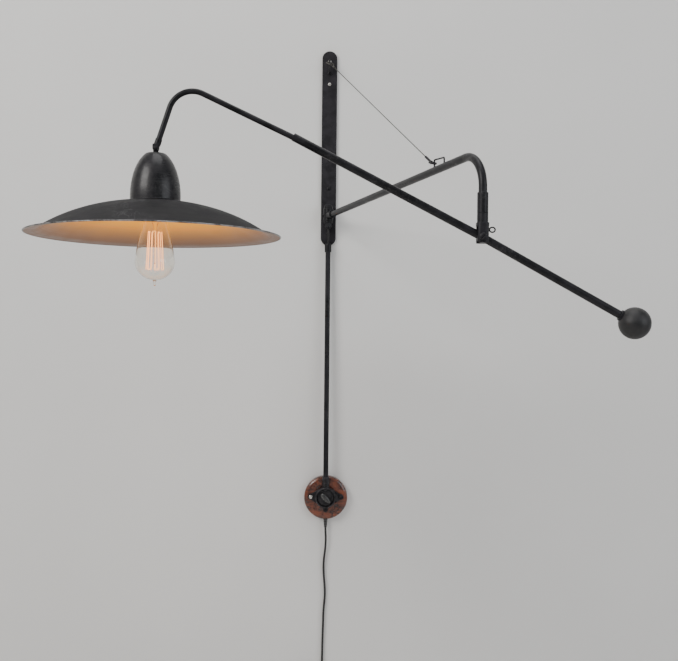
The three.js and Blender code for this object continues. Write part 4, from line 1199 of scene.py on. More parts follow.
@dataclass
class WallSwitch:
    """The round wooden base, the cast housing, and the turn key with its works."""

    z: float = -793.5
    base_z: float = -796.0
    base_radius: float = 49.0
    base_thick: float = 18.0
    rim: float = 23.0
    front: float = 38.0
    ear: float = 41.0
    screw_out: float = 33.8
    lug: float = 29.0
    screw: Screw = Screw(4.1, 2.4, 1.8, 12.0)
    top_screw: Screw = Screw(4.1, 2.4, 1.8, 4.0)
    key_turn: float = -45.0

    def build(self, bench: Bench) -> None:
        """Makes the base, housing, screws and works."""
        self.base(bench)
        self.housing(bench)
        seat = -self.base_thick - 6.6
        left = self.screw.build("ear_fixing_left", place(-self.screw_out, seat, self.z), OUT, 0.9)
        bench.fit(left, "wall", NICKEL, "ear_screw_left")
        # The right ear's screw is the same as the left one but black: painted shade, where the housing's
        # shadow falls.
        right = self.screw.build("ear_fixing_right", place(self.screw_out, seat, self.z), OUT, 2.1)
        bench.fit(right, "wall", BLACK, "ear_screw_right")
        low = self.screw.build("lug_fixing_bottom", place(0, seat, self.z - self.lug), OUT, 0.2)
        bench.fit(low, "wall", BLACK, "lug_screw_bottom")
        top = self.top_screw.build("lug_fixing_top", place(0, -35.5, self.z + self.lug), OUT, 1.4)
        bench.fit(top, "wall", BLACK, "lug_screw_top")
        bench.keep("switch_insulator", PORCELAIN)
        self.dial_and_key(bench)

    def base(self, bench: Bench) -> None:
        """The turned base: a flat disc with a quirk and a bevelled rim."""
        r, t = self.base_radius, self.base_thick
        edge = [(r, 0.0), (r, t - 5.2), (r - 0.6, t - 3.6), (r - 1.9, t - 1.7), (r - 4.6, t - 0.35)]
        rim = eased(edge, 28)
        profile = [(0.0, 0.0)] + [tuple(p) for p in rim] + [(r - 5.2, t), (r - 9.0, t), (0.0, t)]
        item = revolved("turned_base", profile, place(0, 0, self.base_z), OUT, 112)
        bench.fit(item, "wall", WOOD, "wood_base")

    def ears(self) -> Array:
        """The housing's pointed flange: straight sides from the ear tips to where they meet the drum."""
        meet = self.rim**2 / self.ear
        rise = math.sqrt(self.rim**2 - meet**2)
        t = np.linspace(0, 1, 14)[:, None]
        side = (1 - t) * (self.ear - 0.8, 2.0) + t * (meet, rise)
        quarter = np.concatenate([[(self.ear, 0.7)], side])
        upper = np.concatenate([quarter, (quarter * (-1, 1))[::-1]])
        return np.concatenate([upper, -upper])

    def housing(self, bench: Bench) -> None:
        """The drum with its well, the flange with pads and lugs, and the tube's socket."""
        back = self.base_thick + 0.3
        flange = back + 6
        centre = place(0, 0, self.z)
        rim, well = self.rim, 19.5
        profile = [(0, back), (rim, back), (rim, 31.0), (rim - 0.5, 31.6), (rim - 0.5, 32.4), (rim, 33.0),
                   (rim, self.front - 1.6), (rim - 1.4, self.front), (well + 0.8, self.front),
                   (well, self.front - 0.8), (well, 20.6), (0, 20.6)]
        drum = revolved("switch_drum", rounded(profile, 0.5), centre, OUT, 96)
        bench.fit(drum, "wall", IRON, "switch_housing")
        axes = (RIGHT, UP, OUT)
        item = slab("switch_flange", self.ears(), centre, axes, (back, flange), 0.9, both=False)
        bench.fit(item, "wall", IRON)
        pad = rounded([(0, back), (6.4, back), (6.4, flange), (0, flange)], 0.8)
        for side, name in ((-1, "left"), (1, "right")):
            item = revolved("ear_pad_" + name, pad, centre + place(side * self.screw_out, 0, 0), OUT, 40)
            bench.fit(item, "wall", IRON)
        lugs = stadium(5.6, self.lug, 20)
        item = slab("lug_strap", lugs, centre, axes, (back, flange), 0.8, both=False)
        bench.fit(item, "wall", IRON)
        socket = [(0, 0), (8.2, 0), (8.2, 29.6), (7.6, 31.9), (6.2, 31.9), (6.2, 21), (0, 21)]
        item = revolved("tube_socket", rounded(socket, 0.6), place(0, -27, self.z + 15), UP, 56)
        bench.fit(item, "wall", IRON)

    def dial_and_key(self, bench: Bench) -> None:
        """The dial ring, its centre collar, and the oval key turned down to the right."""
        centre = place(0, 0, self.z)
        dial = [(4.6, 30.5), (19, 30.5), (19, 32.6), (17.6, 33.4), (14.2, 33.4), (13.8, 33.0), (12.4, 33.0),
                (12.0, 33.4), (4.6, 33.4)]
        bench.fit(revolved("dial_ring", rounded(dial, 0.3), centre, OUT, 80), "wall", IRON, "switch_dial")
        turn = math.radians(self.key_turn)
        u = place(math.cos(turn), 0, math.sin(turn))
        v = place(-math.sin(turn), 0, math.cos(turn))
        rows = [(0, 0, 25.0), (3.9, 3.9, 25.0), (4.0, 4.0, 25.2), (4.0, 4.0, 33.9), (13.2, 5.4, 34.0),
                (14.2, 6.1, 34.3), (14.5, 6.4, 35.0), (14.5, 6.4, 40.2), (14.3, 6.2, 41.4),
                (13.8, 5.7, 42.3), (13.1, 4.9, 42.9), (12.6, 4.4, 43.3), (12.2, 4.1, 43.9),
                (11.2, 3.4, 44.4), (9.0, 2.2, 44.6), (0, 0, 44.7)]
        line = np.array(rows)
        angle = circle(72)[None, :, None]
        grid = (centre + line[:, None, :1] * np.cos(angle) * u + line[:, None, 1:2] * np.sin(angle) * v
                + line[:, None, 2:] * OUT)
        bench.fit(closed_grid("turn_key", grid), "switch_key", PLASTIC, "switch_knob")


# ------------------------------------------------------------------------------ the bracket
@dataclass
class Bracket:
    """The swinging bent tube with its hinge knuckle, wire stay and lower collar."""

    start_z: float = -156.5
    corner_z: float = -134.5
    bend: float = 55.0
    outer: float = 6.7
    inner: float = 5.3
    leg_end: float = -246.0
    stay_top: tuple = (1.5, 189.0)
    stay_end: tuple = (506.5, -119.9)
    wire: float = 0.9
    staple: tuple = (523.0, 559.0)
    staple_z: float = -120.5

    def height(self, layout: Layout, out: float) -> float:
        """The height of the tube's centreline, a distance out from the swing axis."""
        return self.start_z + out * (self.corner_z - self.start_z) / layout.reach

    def build(self, bench: Bench) -> None:
        """Makes the tube, knuckle, staple, stay and collar."""
        lay = bench.layout
        side = np.cross(lay.along, UP)
        path = bent_line([lay.bracket(13.6, self.height(lay, 13.6)), lay.bracket(lay.reach, self.corner_z),
                          lay.bracket(lay.reach, self.leg_end)], self.bend, 28)
        tube = swept("bracket_bar", path, self.outer, side, self.inner, 48)
        bench.fit(tube, "bracket", TUBING, "bracket_tube")
        self.knuckle(bench)
        foot = [self.height(lay, out) + self.outer + 0.2 for out in self.staple]
        top = [self.staple_z - 0.3, self.staple_z - 2.2]
        corners = [lay.bracket(self.staple[0], foot[0]), lay.bracket(self.staple[0], top[0]),
                   lay.bracket(self.staple[1], top[1]), lay.bracket(self.staple[1], foot[1])]
        item = swept("stay_eye", bent_line(corners, 2.2, 10), 1.4, side, sides=20)
        bench.fit(item, "bracket", BLACK, "stay_staple")
        self.stay(bench)
        self.collar(bench)

    def knuckle(self, bench: Bench) -> None:
        """The barrel on the hinge pin, the stub that holds the tube, and its set screw."""
        lay = bench.layout
        barrel = [(6.0, -168.6), (11.3, -168.6), (11.3, -140.4), (6.0, -140.4)]
        item = revolved("knuckle_barrel", rounded(barrel, 1.0), lay.bracket(0, 0), UP, 64)
        bench.fit(item, "bracket", BLACK, "bracket_knuckle")
        start, end = (lay.bracket(out, self.height(lay, out)) for out in (8.0, 30.0))
        bench.fit(between("knuckle_stub", start, end, 9.0, 7.0, 0.9, 56), "bracket", BLACK)
        screw = [(0, 6.6), (2.2, 6.6), (2.2, 11.6), (3.4, 11.6), (3.4, 14.0), (2.4, 14.9), (0, 14.9)]
        item = revolved("grub_screw", rounded(screw, 0.3), lay.bracket(0, self.start_z), -RIGHT, 32)
        bench.fit(item, "bracket", BLACK, "knuckle_set_screw")

    def stay(self, bench: Bench) -> None:
        """The wire rope: an eye round a thimble, the long run, two crimps and a snap hook."""
        lay = bench.layout
        (x0, z0), (x1, z1) = self.stay_top, self.stay_end
        length = math.hypot(x1 - x0, z1 - z0)
        along = lay.along * (x1 - x0) / length + UP * (z1 - z0) / length
        side = np.cross(lay.along, UP)
        over = np.cross(side, along)
        top = lay.bracket(x0, z0)
        flat = unit(lay.along * (z0 - z1) / length + UP * (x1 - x0) / length)
        item = ring("stay_thimble_ring", top, along, side, (7.3, 7.3), 1.25)
        bench.fit(item, "bracket", WIRE, "stay_thimble")
        reach, girth = 24.0, 8.7
        bend = math.acos(girth / reach)
        t = np.linspace(bend, 2 * math.pi - bend, 60)[:, None]
        loop = top + girth * (np.cos(t) * along + np.sin(t) * side)
        start = top + along * reach + side * 0.85
        end = top + along * reach - side * 0.85
        path = np.concatenate([even_line(start, loop[0], 1.5)[:-1], loop, even_line(loop[-1], end, 1.5)[1:]])
        bench.fit(laid_wire("stay_eye_loop", path, self.wire, flat, 12.0), "bracket", WIRE)
        run = even_line(top + along * (reach + 1), top + along * (length - 0.4), 1.3)
        bench.fit(laid_wire("stay_rope", run, self.wire, side, 11.0), "bracket", WIRE, "stay_wire")
        tail = even_line(top + along * (reach + 1) + over * 1.5, top + along * (reach + 17) + over * 1.5, 1.3)
        bench.fit(laid_wire("stay_tail", tail, self.wire * 0.8, side, 11.0), "bracket", WIRE)
        for name, node, low, high, girth, finish in (
                ("crimp_high", "stay_crimp_upper", 24.0, 34.0, 1.9, WIRE),
                ("crimp_low", "stay_crimp_lower", length - 20, length, 2.3, BLACK)):
            step = (high - low) / 6
            profile = [(1.0, low), (girth, low)]
            for k in range(1, 6):
                profile.append((girth - 0.35 if k % 2 else girth + 0.05, low + k * step))
            profile += [(girth, high), (1.0, high)]
            item = revolved(name, rounded(profile, 0.35), top, along, 32)
            bench.fit(item, "bracket", finish, node)
        hook_at = lay.bracket(516.6, -124.9)
        tilt = unit(lay.along * math.cos(0.36) - UP * math.sin(0.36))
        item = ring("snap_link", hook_at, tilt, side, (8.8, 4.4), 1.5)
        bench.fit(item, "bracket", BLACK, "stay_snap_hook")
        for name, offset, girth in (("snap_gate", side * 4.4, 2.0), ("snap_spine", -side * 4.4, 2.0)):
            bar = between(name, hook_at + offset - tilt * 4.6, hook_at + offset + tilt * 4.2, girth)
            bench.fit(bar, "bracket", BLACK)
        eye = between("snap_barrel", hook_at - tilt * 10.4, hook_at - tilt * 5.2, 3.1, edge=0.7)
        bench.fit(eye, "bracket", BLACK)

    def collar(self, bench: Bench) -> None:
        """The stop collar on the leg, with a grub screw, and the spindle inside."""
        lay = bench.layout
        fit = self.outer + 0.2
        profile = [(fit, -232.0), (8.6, -232.0), (8.6, -200.9), (7.9, -199.7), (fit, -199.7)]
        item = revolved("leg_sleeve", rounded(profile, 0.3), lay.leg(0), UP, 64)
        bench.fit(item, "bracket", BLACK, "leg_collar")
        grub = Screw(1.9, 0.7, 1.2, 1.4).build("sleeve_grub", lay.leg(-208.5) + OUT * 8.5, OUT, 0.6)
        bench.fit(grub, "bracket", BLACK)
        spindle = [(0, -255.6), (4.4, -255.6), (4.4, -253.1), (2.3, -253.1), (2.3, -245.0), (4.9, -245.0),
                   (4.9, -233.0), (0, -233.0)]
        item = revolved("leg_spindle", rounded(spindle, 0.4), lay.leg(0), UP, 40)
        bench.fit(item, "bracket", BLACK, "swivel_spindle")


# ------------------------------------------------------------------------------ the swivel
@dataclass
class Swivel:
    """The fork that turns under the leg, the arm's bolt and nut, and the ring bolt."""

    cheek_in: float = 8.0
    cheek_out: float = 11.5
    half: float = 9.9
    toe: float = 9.2
    bridge: float = 16.5
    top: float = 37.0
    ring_x: float = 15.2
    ring_z: float = 11.6

    def build(self, bench: Bench) -> None:
        """Makes the fork, bolt, nut and ring bolt."""
        pivot = bench.layout.pivot
        profile = [(2.7, 16.5), (8.6, 16.5), (8.6, self.top), (7.0, self.top), (7.0, 22.9), (2.7, 22.9)]
        item = revolved("fork_socket", rounded(profile, 0.6), pivot, UP, 64)
        bench.fit(item, "swivel", BLACK, "swivel_fork")
        axes, head = (RIGHT, INWARD, UP), (self.bridge, self.bridge + 6.0)
        yoke = slab("fork_yoke", self.section(0.0), pivot, axes, head, 0.7)
        bench.fit(yoke, "swivel", BLACK)
        cheek = self.section(self.cheek_in)
        for sign, name in ((-1, "front"), (1, "rear")):
            foot_to_head = (-self.toe, self.bridge + 5.6)
            item = slab("fork_cheek_" + name, sign * cheek, pivot, axes, foot_to_head, 0.9)
            bench.fit(item, "swivel", BLACK)
        self.bolt(bench)

    def section(self, cut: float) -> Array:
        """The fork's outline seen from above: |x/a|^3 + |y/b|^3 = 1, kept where y is above the cut.

        Args:
            cut: the slot's half width, or 0 for the whole outline.
        Returns:
            (n, 2) points, anticlockwise.
        """
        share = math.asin((cut / self.cheek_out) ** 1.5) if cut else 0.0
        a = np.linspace(share, math.pi - share, 33) if cut else circle(64)
        bend = 2 / 3
        x = self.half * np.sign(np.cos(a)) * np.abs(np.cos(a)) ** bend
        y = self.cheek_out * np.sign(np.sin(a)) * np.abs(np.sin(a)) ** bend
        outline = np.stack([x, y], axis=1)
        if cut:
            back = np.linspace(-x[0] * 0.9, x[0] * 0.9, 9)
            outline = np.concatenate([outline, np.stack([back, np.full(9, cut)], axis=1)])
        return outline

    def bolt(self, bench: Bench) -> None:
        """The pivot bolt through both cheeks, its nut, and the ring bolt at the right."""
        pivot = bench.layout.pivot
        reach = self.cheek_out + 0.3
        shank = [(0, -reach - 5.6), (2.6, -reach - 5.6), (3, -reach - 5.0), (3, reach), (0, reach)]
        item = revolved("bolt_shank", rounded(shank, 0.2), pivot, OUT, 40)
        bench.fit(item, "swivel", BLACK, "pivot_bolt")
        head = Screw(6.0, 3.4, 3.0, 0.3).build("bolt_head", pivot + OUT * reach, OUT, 0.75)
        bench.fit(head, "swivel", BLACK)
        bench.fit(bench.refined("bolt_nut", "pivot_bolt_nut", 0.4), "swivel", BLACK, "pivot_bolt_nut")
        inner_end, outer_end = (pivot + place(x, 0, self.ring_z) for x in (6.5, 9.8))
        boss = between("ring_boss", inner_end, outer_end, 4.4, 2.1, 0.6)
        bench.fit(boss, "swivel", BLACK)
        at = pivot + place(self.ring_x, 0, self.ring_z)
        item = ring("ring_bolt_eye", at, RIGHT, UP, (4.4, 3.8), 1.15)
        bench.fit(item, "ring_screw", BLACK, "ring_bolt")
        item = between("ring_bolt_shank", at - RIGHT * 7.6, at - RIGHT * 3.8, 1.75, edge=0.3, sides=28)
        bench.fit(item, "ring_screw", BLACK)


# ------------------------------------------------------------------------------ the arm
@dataclass
class Arm:
    """The balanced arm: hub, two tubes, the plug-in bent rod, the ball and the tip's knuckle."""

    tube: float = 6.35
    bore: float = 5.0
    front: tuple = (-294.5, 152.6)
    ball: tuple = (237.3, -131.1)
    ball_radius: float = 25.0
    rod: float = 4.5
    rod_bore: float = 3.3
    rod_corner: tuple = (-473.4, 236.2)
    rod_bend: float = 37.0
    pin: float = 1.6

    def build(self, bench: Bench) -> None:
        """Makes the whole arm."""
        lay = bench.layout
        front_way, ball_way = (unit(place(x, 0, z)) for x, z in (self.front, self.ball))
        hub = [(3.4, -7.6), (8.8, -7.6), (8.8, 7.6), (3.4, 7.6)]
        bench.fit(revolved("hub_barrel", rounded(hub, 0.9), lay.pivot, INWARD, 64), "arm", BLACK, "arm_hub")
        mouth = lay.arm(*self.front)
        tube = between("fore_tube", lay.pivot + front_way * 5.4, mouth, self.tube, self.bore, 0.5, 48)
        bench.fit(tube, "arm", TUBING, "arm_tube_front")
        rear = math.hypot(*self.ball) - self.ball_radius + 9
        tube = between("rear_tube", lay.pivot + ball_way * 5.4, lay.pivot + ball_way * rear, self.tube,
                       self.bore, 0.5, 48)
        bench.fit(tube, "arm", TUBING, "arm_tube_rear")
        self.extension(bench, mouth, front_way)
        self.weight(bench, ball_way)

    def extension(self, bench: Bench, mouth: Array, way: Array) -> None:
        """The bent rod that plugs into the front tube, and the knuckle on its tip.

        Args:
            bench: the bench.
            mouth: the front tube's mouth.
            way: the direction from the pivot to it.
        """
        lay = bench.layout
        corner = lay.arm(*self.rod_corner)
        up_rod = unit(corner - lay.hang)
        path = bent_line([mouth - way * 26, corner, lay.hang + up_rod * 7], self.rod_bend, 30)
        rod = swept("bent_rod", path, self.rod, INWARD, self.rod_bore, 40)
        bench.fit(rod, "arm", TUBING, "extension_rod")
        socket = [(4.8, 6.6), (4.8, 15.0), (5.3, 15.0), (5.3, 4.6), (0, 4.6), (0, 6.6)]
        tip = revolved("tip_socket", rounded(socket, 0.5), lay.hang, up_rod, 48)
        bench.fit(tip, "arm", BLACK, "tip_knuckle")
        block = soft_box(8.6, 10.8, 1.2)
        shoulder = slab("tip_shoulder", block, lay.hang, (RIGHT, INWARD, UP), (4.1, 6.6), 0.6)
        bench.fit(shoulder, "arm", BLACK)
        a = np.linspace(math.pi, 2 * math.pi, 20)
        outline = np.concatenate([4.6 * np.stack([np.cos(a), np.sin(a)], axis=1), [(4.6, 5.4), (-4.6, 5.4)]])
        for name, near in (("front", -5.4), ("rear", 2.4)):
            item = slab("tip_cheek_" + name, outline, lay.hang, (RIGHT, UP, INWARD), (near, near + 3.0), 0.5)
            bench.fit(item, "arm", BLACK)
        pin = [(0, -6.4), (self.pin, -6.4), (self.pin, 5.7), (0, 5.7)]
        bench.fit(revolved("hang_rivet", rounded(pin, 0.2), lay.hang, OUT, 28), "arm", BLACK, "hang_pin")
        head = Screw(2.8, 1.5, 1.6, 0.3).build("rivet_head", lay.hang + OUT * 5.7, OUT, 0.3)
        bench.fit(head, "arm", BLACK)

    def weight(self, bench: Bench, way: Array) -> None:
        """The ball, bored for the tube: a sphere's profile with its pole opened and a faint parting.

        Args:
            bench: the bench.
            way: the direction from the pivot to the ball.
        """
        centre = bench.layout.arm(*self.ball)
        bore = self.tube + 0.25
        a = np.linspace(0, math.pi - math.asin(bore / self.ball_radius), 60)
        radius = self.ball_radius - 0.12 * np.exp(-(((a - math.pi / 2) * 26) ** 2))
        outside = list(zip(radius * np.sin(a), radius * np.cos(a)))
        mouth = outside[-1][1]
        profile = outside + [(bore, mouth + 10.0), (0.0, mouth + 10.0)]
        ball = revolved("balance_ball", profile, centre, way, 96)
        bench.fit(ball, "arm", WEIGHT, "counterweight_ball")
        collar = [(bore, mouth - 2.6), (bore + 2.0, mouth - 2.2), (bore + 2.6, mouth + 1.2),
                  (bore, mouth + 1.2)]
        bench.fit(revolved("ball_collar", rounded(collar, 0.4), centre, way, 48), "arm", BLACK)


# ------------------------------------------------------------------------------ the lamp
@dataclass
class Lamp:
    """The hanging head: hanger, cup, spun shade, lampholder and bulb."""

    cup_top: float = -144.8
    cup_bottom: float = -219.4
    cup_wide: float = 38.7
    cup_tall: float = 71.7
    cup_centre: float = -210.7
    crown: float = -218.1
    sag: float = 0.001294
    steepen: float = 1.05e-8
    inner: float = 21.0
    knee: float = 176.0
    rim: float = 195.0
    rim_z: float = -272.0
    wall: float = 1.3
    bulb_wide: float = 30.7
    glass: float = 0.8

    def build(self, bench: Bench) -> None:
        """Makes the hanger, cup, shade, lampholder and bulb."""
        hang = bench.layout.hang
        a = np.linspace(0, math.pi, 20)
        arch = 3.9 * np.stack([np.cos(a), np.sin(a)], axis=1)
        outline = np.concatenate([arch, [(-3.9, -7.6), (3.9, -7.6)]])
        eye = slab("hanger_eye", outline, hang, (RIGHT, UP, INWARD), (-2.1, 2.1), 0.5)
        bench.fit(eye, "lamp", BLACK, "lamp_hanger")
        nipple = [(0, -26.0), (4.7, -26.0), (4.7, -6.0), (3.4, -5.0), (0, -5.0)]
        bench.fit(revolved("hanger_nipple", rounded(nipple, 0.4), hang, UP, 48), "lamp", BLACK)
        self.cup(bench)
        self.shade(bench)
        self.holder(bench)
        self.bulb(bench)

    def cup(self, bench: Bench) -> None:
        """The canopy: r = w sqrt(1 - ((z - c)/h)^2), spun with a wall, and a rolled lower bead."""
        z = np.linspace(self.cup_bottom + 1.6, self.cup_top - 0.4, 44)
        outside = [(self.cup_wide * math.sqrt(1 - ((h - self.cup_centre) / self.cup_tall) ** 2), h)
                   for h in z]
        thin = 1.5
        tall = self.cup_tall - thin
        wide = self.cup_wide - thin
        low = np.linspace(self.cup_top - thin - 0.4, self.cup_bottom, 40)
        inside = [(wide * math.sqrt(max(0, 1 - ((h - self.cup_centre) / tall) ** 2)), h) for h in low]
        bead_r = outside[0][0]
        t = np.linspace(-0.5 * math.pi, 0.45 * math.pi, 9)
        bead = [(bead_r - 0.6 + 1.0 * math.cos(k), self.cup_bottom + 0.9 + 0.9 * math.sin(k)) for k in t]
        top = [(outside[-1][0] - 1.2, self.cup_top + 0.1), (5.1, self.cup_top + 0.1),
               (5.1, self.cup_top - 1.5)]
        profile = bead + outside + top + inside
        bench.fit(revolved("spun_cup", profile, bench.layout.lamp(0), UP, 128), "lamp", CUP, "cup")

    def dome(self, r: float) -> float:
        """The dome's height at a radius: crown - s r^2 - k r^4."""
        return self.crown - self.sag * r**2 - self.steepen * r**4

    def shade(self, bench: Bench) -> None:
        """The shade: the dome to the knee, a flare to the rim, and a rolled lip."""
        r = np.linspace(self.inner, self.knee, 60)
        dome = [(float(k), self.dome(float(k))) for k in r]
        knee_z = dome[-1][1]
        flare_points = [dome[-1], (182.0, knee_z - 1.6), (188.5, knee_z - 2.3),
                        (self.rim - 1.2, self.rim_z + 0.9)]
        flare = [tuple(p) for p in eased(flare_points, 22)[1:]]
        t = np.linspace(0.35 * math.pi, -0.95 * math.pi, 12)
        lip = [(self.rim - 1.3 + 1.25 * math.cos(k), self.rim_z + 0.1 + 1.0 * math.sin(k)) for k in t]
        under = [(k - (0.7 if k > self.knee else 0.0), z - (1.1 if k > self.knee else self.wall))
                 for k, z in dome + flare[:-2]]
        profile = dome + flare + lip + under[::-1]
        item = revolved("spun_shade", profile, bench.layout.lamp(0), UP, 192)
        bench.fit(item, "lamp", SHADE_OUT, "shade")
        item.data.materials.append(bench.material(SHADE_IN_PAINTED_GLOW))
        item.data.materials.append(bench.material(SHADE_LIP))
        count = len(item.data.polygons)
        normals = np.empty(count * 3, dtype=np.float32)
        centres = np.empty(count * 3, dtype=np.float32)
        item.data.polygons.foreach_get("normal", normals)
        item.data.polygons.foreach_get("center", centres)
        normals, centres = normals.reshape(-1, 3), centres.reshape(-1, 3) / MM
        out = np.hypot(centres[:, 0] - bench.layout.hang[0], centres[:, 1] - bench.layout.hang[1])
        index = np.where(normals[:, 2] < 0.05, 1, 0)
        index = np.where(out > self.rim - 1.9, 2, index)
        item.data.polygons.foreach_set("material_index", index.astype(np.int32))
        item.data.update()

    def holder(self, bench: Bench) -> None:
        """The ring under the shade, the brass shell and the porcelain block inside the cup."""
        at = bench.layout.lamp(0)
        under = self.dome(26.0) - self.wall - 0.3
        ring_profile = [(19.6, under - 4), (30, under - 4), (30, under - 0.7), (19.6, under)]
        item = revolved("shade_gallery", rounded(ring_profile, 0.8), at, UP, 80)
        bench.fit(item, "lamp", BLACK, "shade_ring")
        shell = [(17.4, under - 9), (19.0, under - 9), (19.0, -168), (17.5, -166), (5.1, -166), (5.1, -167.6),
                 (17.4, -167.6)]
        item = revolved("holder_shell", rounded(shell, 0.5), at, UP, 72)
        bench.fit(item, "lamp", BRASS, "lampholder_shell")
        bench.keep("lampholder_insulator", PORCELAIN)

    def bulb(self, bench: Bench) -> None:
        """The bulb: threaded cap, blown envelope with a tip, glass stem and laced filament."""
        at = bench.layout.lamp(0)
        z = np.linspace(-213.5, -195.5, 90)
        thread = 12.6 + 0.6 * np.cos((z + 195.5) / 4.0 * 2 * math.pi)
        cap = [(0, -218.7), (13.2, -218.7), (13.2, -214.6)] + list(zip(thread, z))
        cap += [(12.6, -194.2), (8.4, -192.0), (5.6, -189.6), (4.4, -189.0), (0, -189.0)]
        bench.fit(revolved("screw_cap", cap, at, UP, 72), "lamp", BRASS, "bulb_cap")
        envelope = self.envelope()
        bench.fit(revolved("envelope", envelope, at, UP, 112), "lamp", GLASS, "bulb_glass")
        stem = [(0, -316)] + [tuple(p) for p in eased([(1.2, -315.6), (1.6, -312), (1.6, -290), (1.7, -266),
                                                       (3.2, -257), (5.6, -248), (7.6, -232), (8, -221)], 50)]
        stem += [(8, -220), (0, -220)]
        bench.fit(revolved("glass_stem", stem, at, UP, 48), "lamp", GLASS, "bulb_stem")
        self.filament(bench)

    def envelope(self) -> list:
        """The envelope's wall: an elliptical belly below the widest ring and an eased shoulder above."""
        wide_z, bottom, neck, shoulder = -312.5, -341.0, -219.0, 12.6

        def side(offset: float) -> list:
            """One face of the wall, moved in by an offset, from the tip's edge up to the neck."""
            a = np.linspace(0.1, math.pi / 2, 22)
            belly = zip((self.bulb_wide - offset) * np.sin(a),
                        wide_z - (wide_z - bottom - offset) * np.cos(a))
            t = np.linspace(0, 1, 40)[1:]
            ease = t * t * (3 - 2 * t)
            rise = zip(self.bulb_wide + (shoulder - self.bulb_wide) * (0.35 * t + 0.65 * ease) - offset,
                       wide_z + (neck - wide_z) * t)
            return [(float(r), float(h)) for r, h in (*belly, *rise)]

        tip = [(0.0, -350.0), (0.9, -349.7), (1.5, -348.7), (1.9, -346.8), (2.2, -344.0), (2.5, -341.6)]
        return tip + side(0.0) + side(self.glass)[::-1] + [(0.0, bottom + self.glass)]

    def filament(self, bench: Bench) -> None:
        """A fine wire laced up and down round the stem."""
        strands = 13
        low, high = (13.5, -324.0), (10.5, -266.0)
        points = []
        for i in range(strands):
            angle = i / strands * 2 * math.pi * 0.94
            for radius, z in ((low, high) if i % 2 == 0 else (high, low)):
                points.append(bench.layout.lamp(z) + radius * place(math.cos(angle), math.sin(angle), 0))
        runs = [even_line(a, b, 3.0)[:-1] for a, b in zip(points, points[1:])]
        straight = np.concatenate(runs + [points[-1:]])
        helper = unit(place(0.31, 0.47, 0.12))
        item = swept("laced_filament", straight, 0.36, helper, sides=8)
        bench.fit(item, "lamp", GLOW, "bulb_filament")


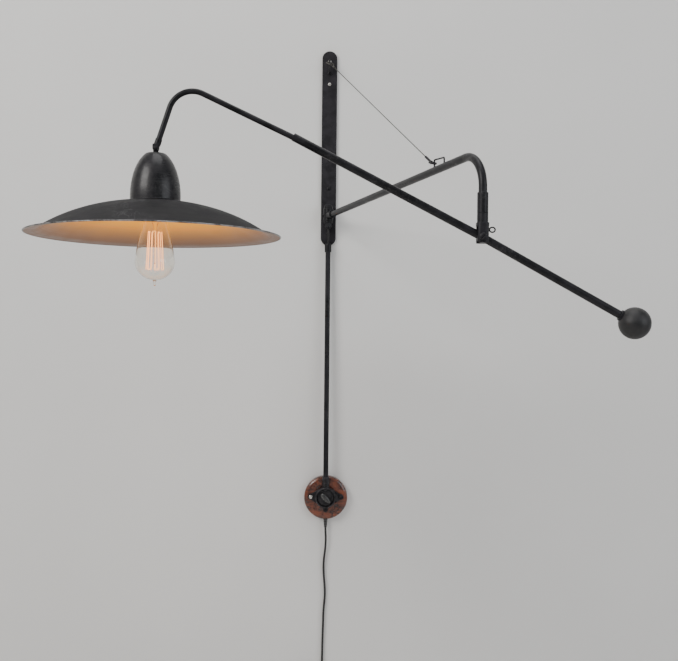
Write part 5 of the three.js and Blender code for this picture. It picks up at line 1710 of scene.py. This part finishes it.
# ------------------------------------------------------------------------------ the room
@dataclass
class Studio:
    """The camera, the pale wall and floor, and soft lights."""

    camera_at: tuple = (0.0268, -2.05, -0.416)
    roll: float = -0.0096
    lens: float = 47.5
    floor_z: float = -1.36
    wall_y: float = 0.0012
    pale: Colour = (0.74, 0.73, 0.71)

    def camera(self) -> None:
        """Stands the camera in front of the wall."""
        data = bpy.data.cameras.new("camera")
        data.lens = self.lens
        data.sensor_width = 36.0
        item = bpy.data.objects.new("camera", data)
        item.location = self.camera_at
        item.rotation_euler = (math.pi / 2, self.roll, 0)
        bpy.context.scene.collection.objects.link(item)
        bpy.context.scene.camera = item

    def plain(self, name: str, see_through: bool) -> Material:
        """A pale painted surface with a faint tone.

        Args:
            name: the material's name.
            see_through: whether its back can't be seen.
        Returns:
            The material.
        """
        made = bpy.data.materials.new(name)
        made.use_nodes = True
        made.node_tree.nodes.clear()
        net = Net(made.node_tree)
        vector = net.node("ShaderNodeTexCoord").outputs["Object"]
        tone = net.noise(vector, 2.0, 3.0)
        colour = net.mix(net.spread(tone, 0.3, 0.7), tuple(0.97 * c for c in self.pale), self.pale)
        shader = net.node("ShaderNodeBsdfPrincipled", None, Base_Color=colour, Roughness=0.85)
        output = net.node("ShaderNodeOutputMaterial")
        surface = shader.outputs[0]
        if see_through:
            clear = net.node("ShaderNodeBsdfTransparent")
            back = net.node("ShaderNodeNewGeometry").outputs["Backfacing"]
            blend = net.node("ShaderNodeMixShader", None, Fac=back)
            net.put(shader.outputs[0], blend.inputs[1])
            net.put(clear.outputs[0], blend.inputs[2])
            surface = blend.outputs[0]
        net.put(surface, output.inputs["Surface"])
        return made

    def sheet(self, name: str, corners: list, see_through: bool) -> None:
        """A flat stage piece through four corners, in metres, facing where they go anticlockwise."""
        mesh = bpy.data.meshes.new(name)
        mesh.from_pydata(corners, [], [(0, 1, 2, 3)])
        mesh.materials.append(self.plain(name, see_through))
        item = bpy.data.objects.new(name, mesh)
        bpy.context.scene.collection.objects.link(item)

    def light(self, name: str, at: tuple, aim: tuple, size: float, power: float, colour: Colour) -> None:
        """A square soft light.

        Args:
            name: the light's name.
            at: where it stands.
            aim: what it faces.
            size: its side.
            power: in watts.
            colour: its colour.
        """
        data = bpy.data.lights.new(name, "AREA")
        data.shape = "SQUARE"
        data.size = size
        data.energy = power
        data.color = colour
        item = bpy.data.objects.new(name, data)
        item.location = at
        item.rotation_euler = (Vector(aim) - Vector(at)).to_track_quat("-Z", "Y").to_euler()
        bpy.context.scene.collection.objects.link(item)

    def build(self) -> None:
        """Makes the wall, floor, lights and sky."""
        y, z, far = self.wall_y, self.floor_z, 7.0
        self.sheet("backdrop", [(-far, y, z), (far, y, z), (far, y, far), (-far, y, far)], True)
        self.sheet("floor", [(-far, -far, z), (far, -far, z), (far, far, z), (-far, far, z)], False)
        centre = (0.0, -0.4, -0.25)
        self.light("key", (-1.9, -2.3, 1.1), centre, 1.5, 62.0, (1.0, 0.98, 0.95))
        self.light("fill", (2.3, -2.1, 0.3), centre, 1.8, 24.0, (0.93, 0.96, 1.0))
        self.light("top", (0.1, -1.0, 2.1), centre, 1.6, 26.0, (1.0, 1.0, 1.0))
        world = bpy.data.worlds.new("sky")
        world.use_nodes = True
        world.node_tree.nodes["Background"].inputs["Color"].default_value = (0.82, 0.85, 0.90, 1.0)
        world.node_tree.nodes["Background"].inputs["Strength"].default_value = 0.42
        bpy.context.scene.world = world


def main() -> None:
    """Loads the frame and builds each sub-assembly."""
    logging.basicConfig(level=logging.INFO, format="%(name)s: %(message)s")
    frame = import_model()
    studio = Studio()
    studio.camera()
    bench = Bench(frame)
    for assembly in (Cord(), WallMount(), Conduit(), WallSwitch(), Bracket(), Swivel(), Arm(), Lamp()):
        assembly.build(bench)
    studio.build()
    bpy.context.view_layer.update()


if __name__ == "__main__":
    main()
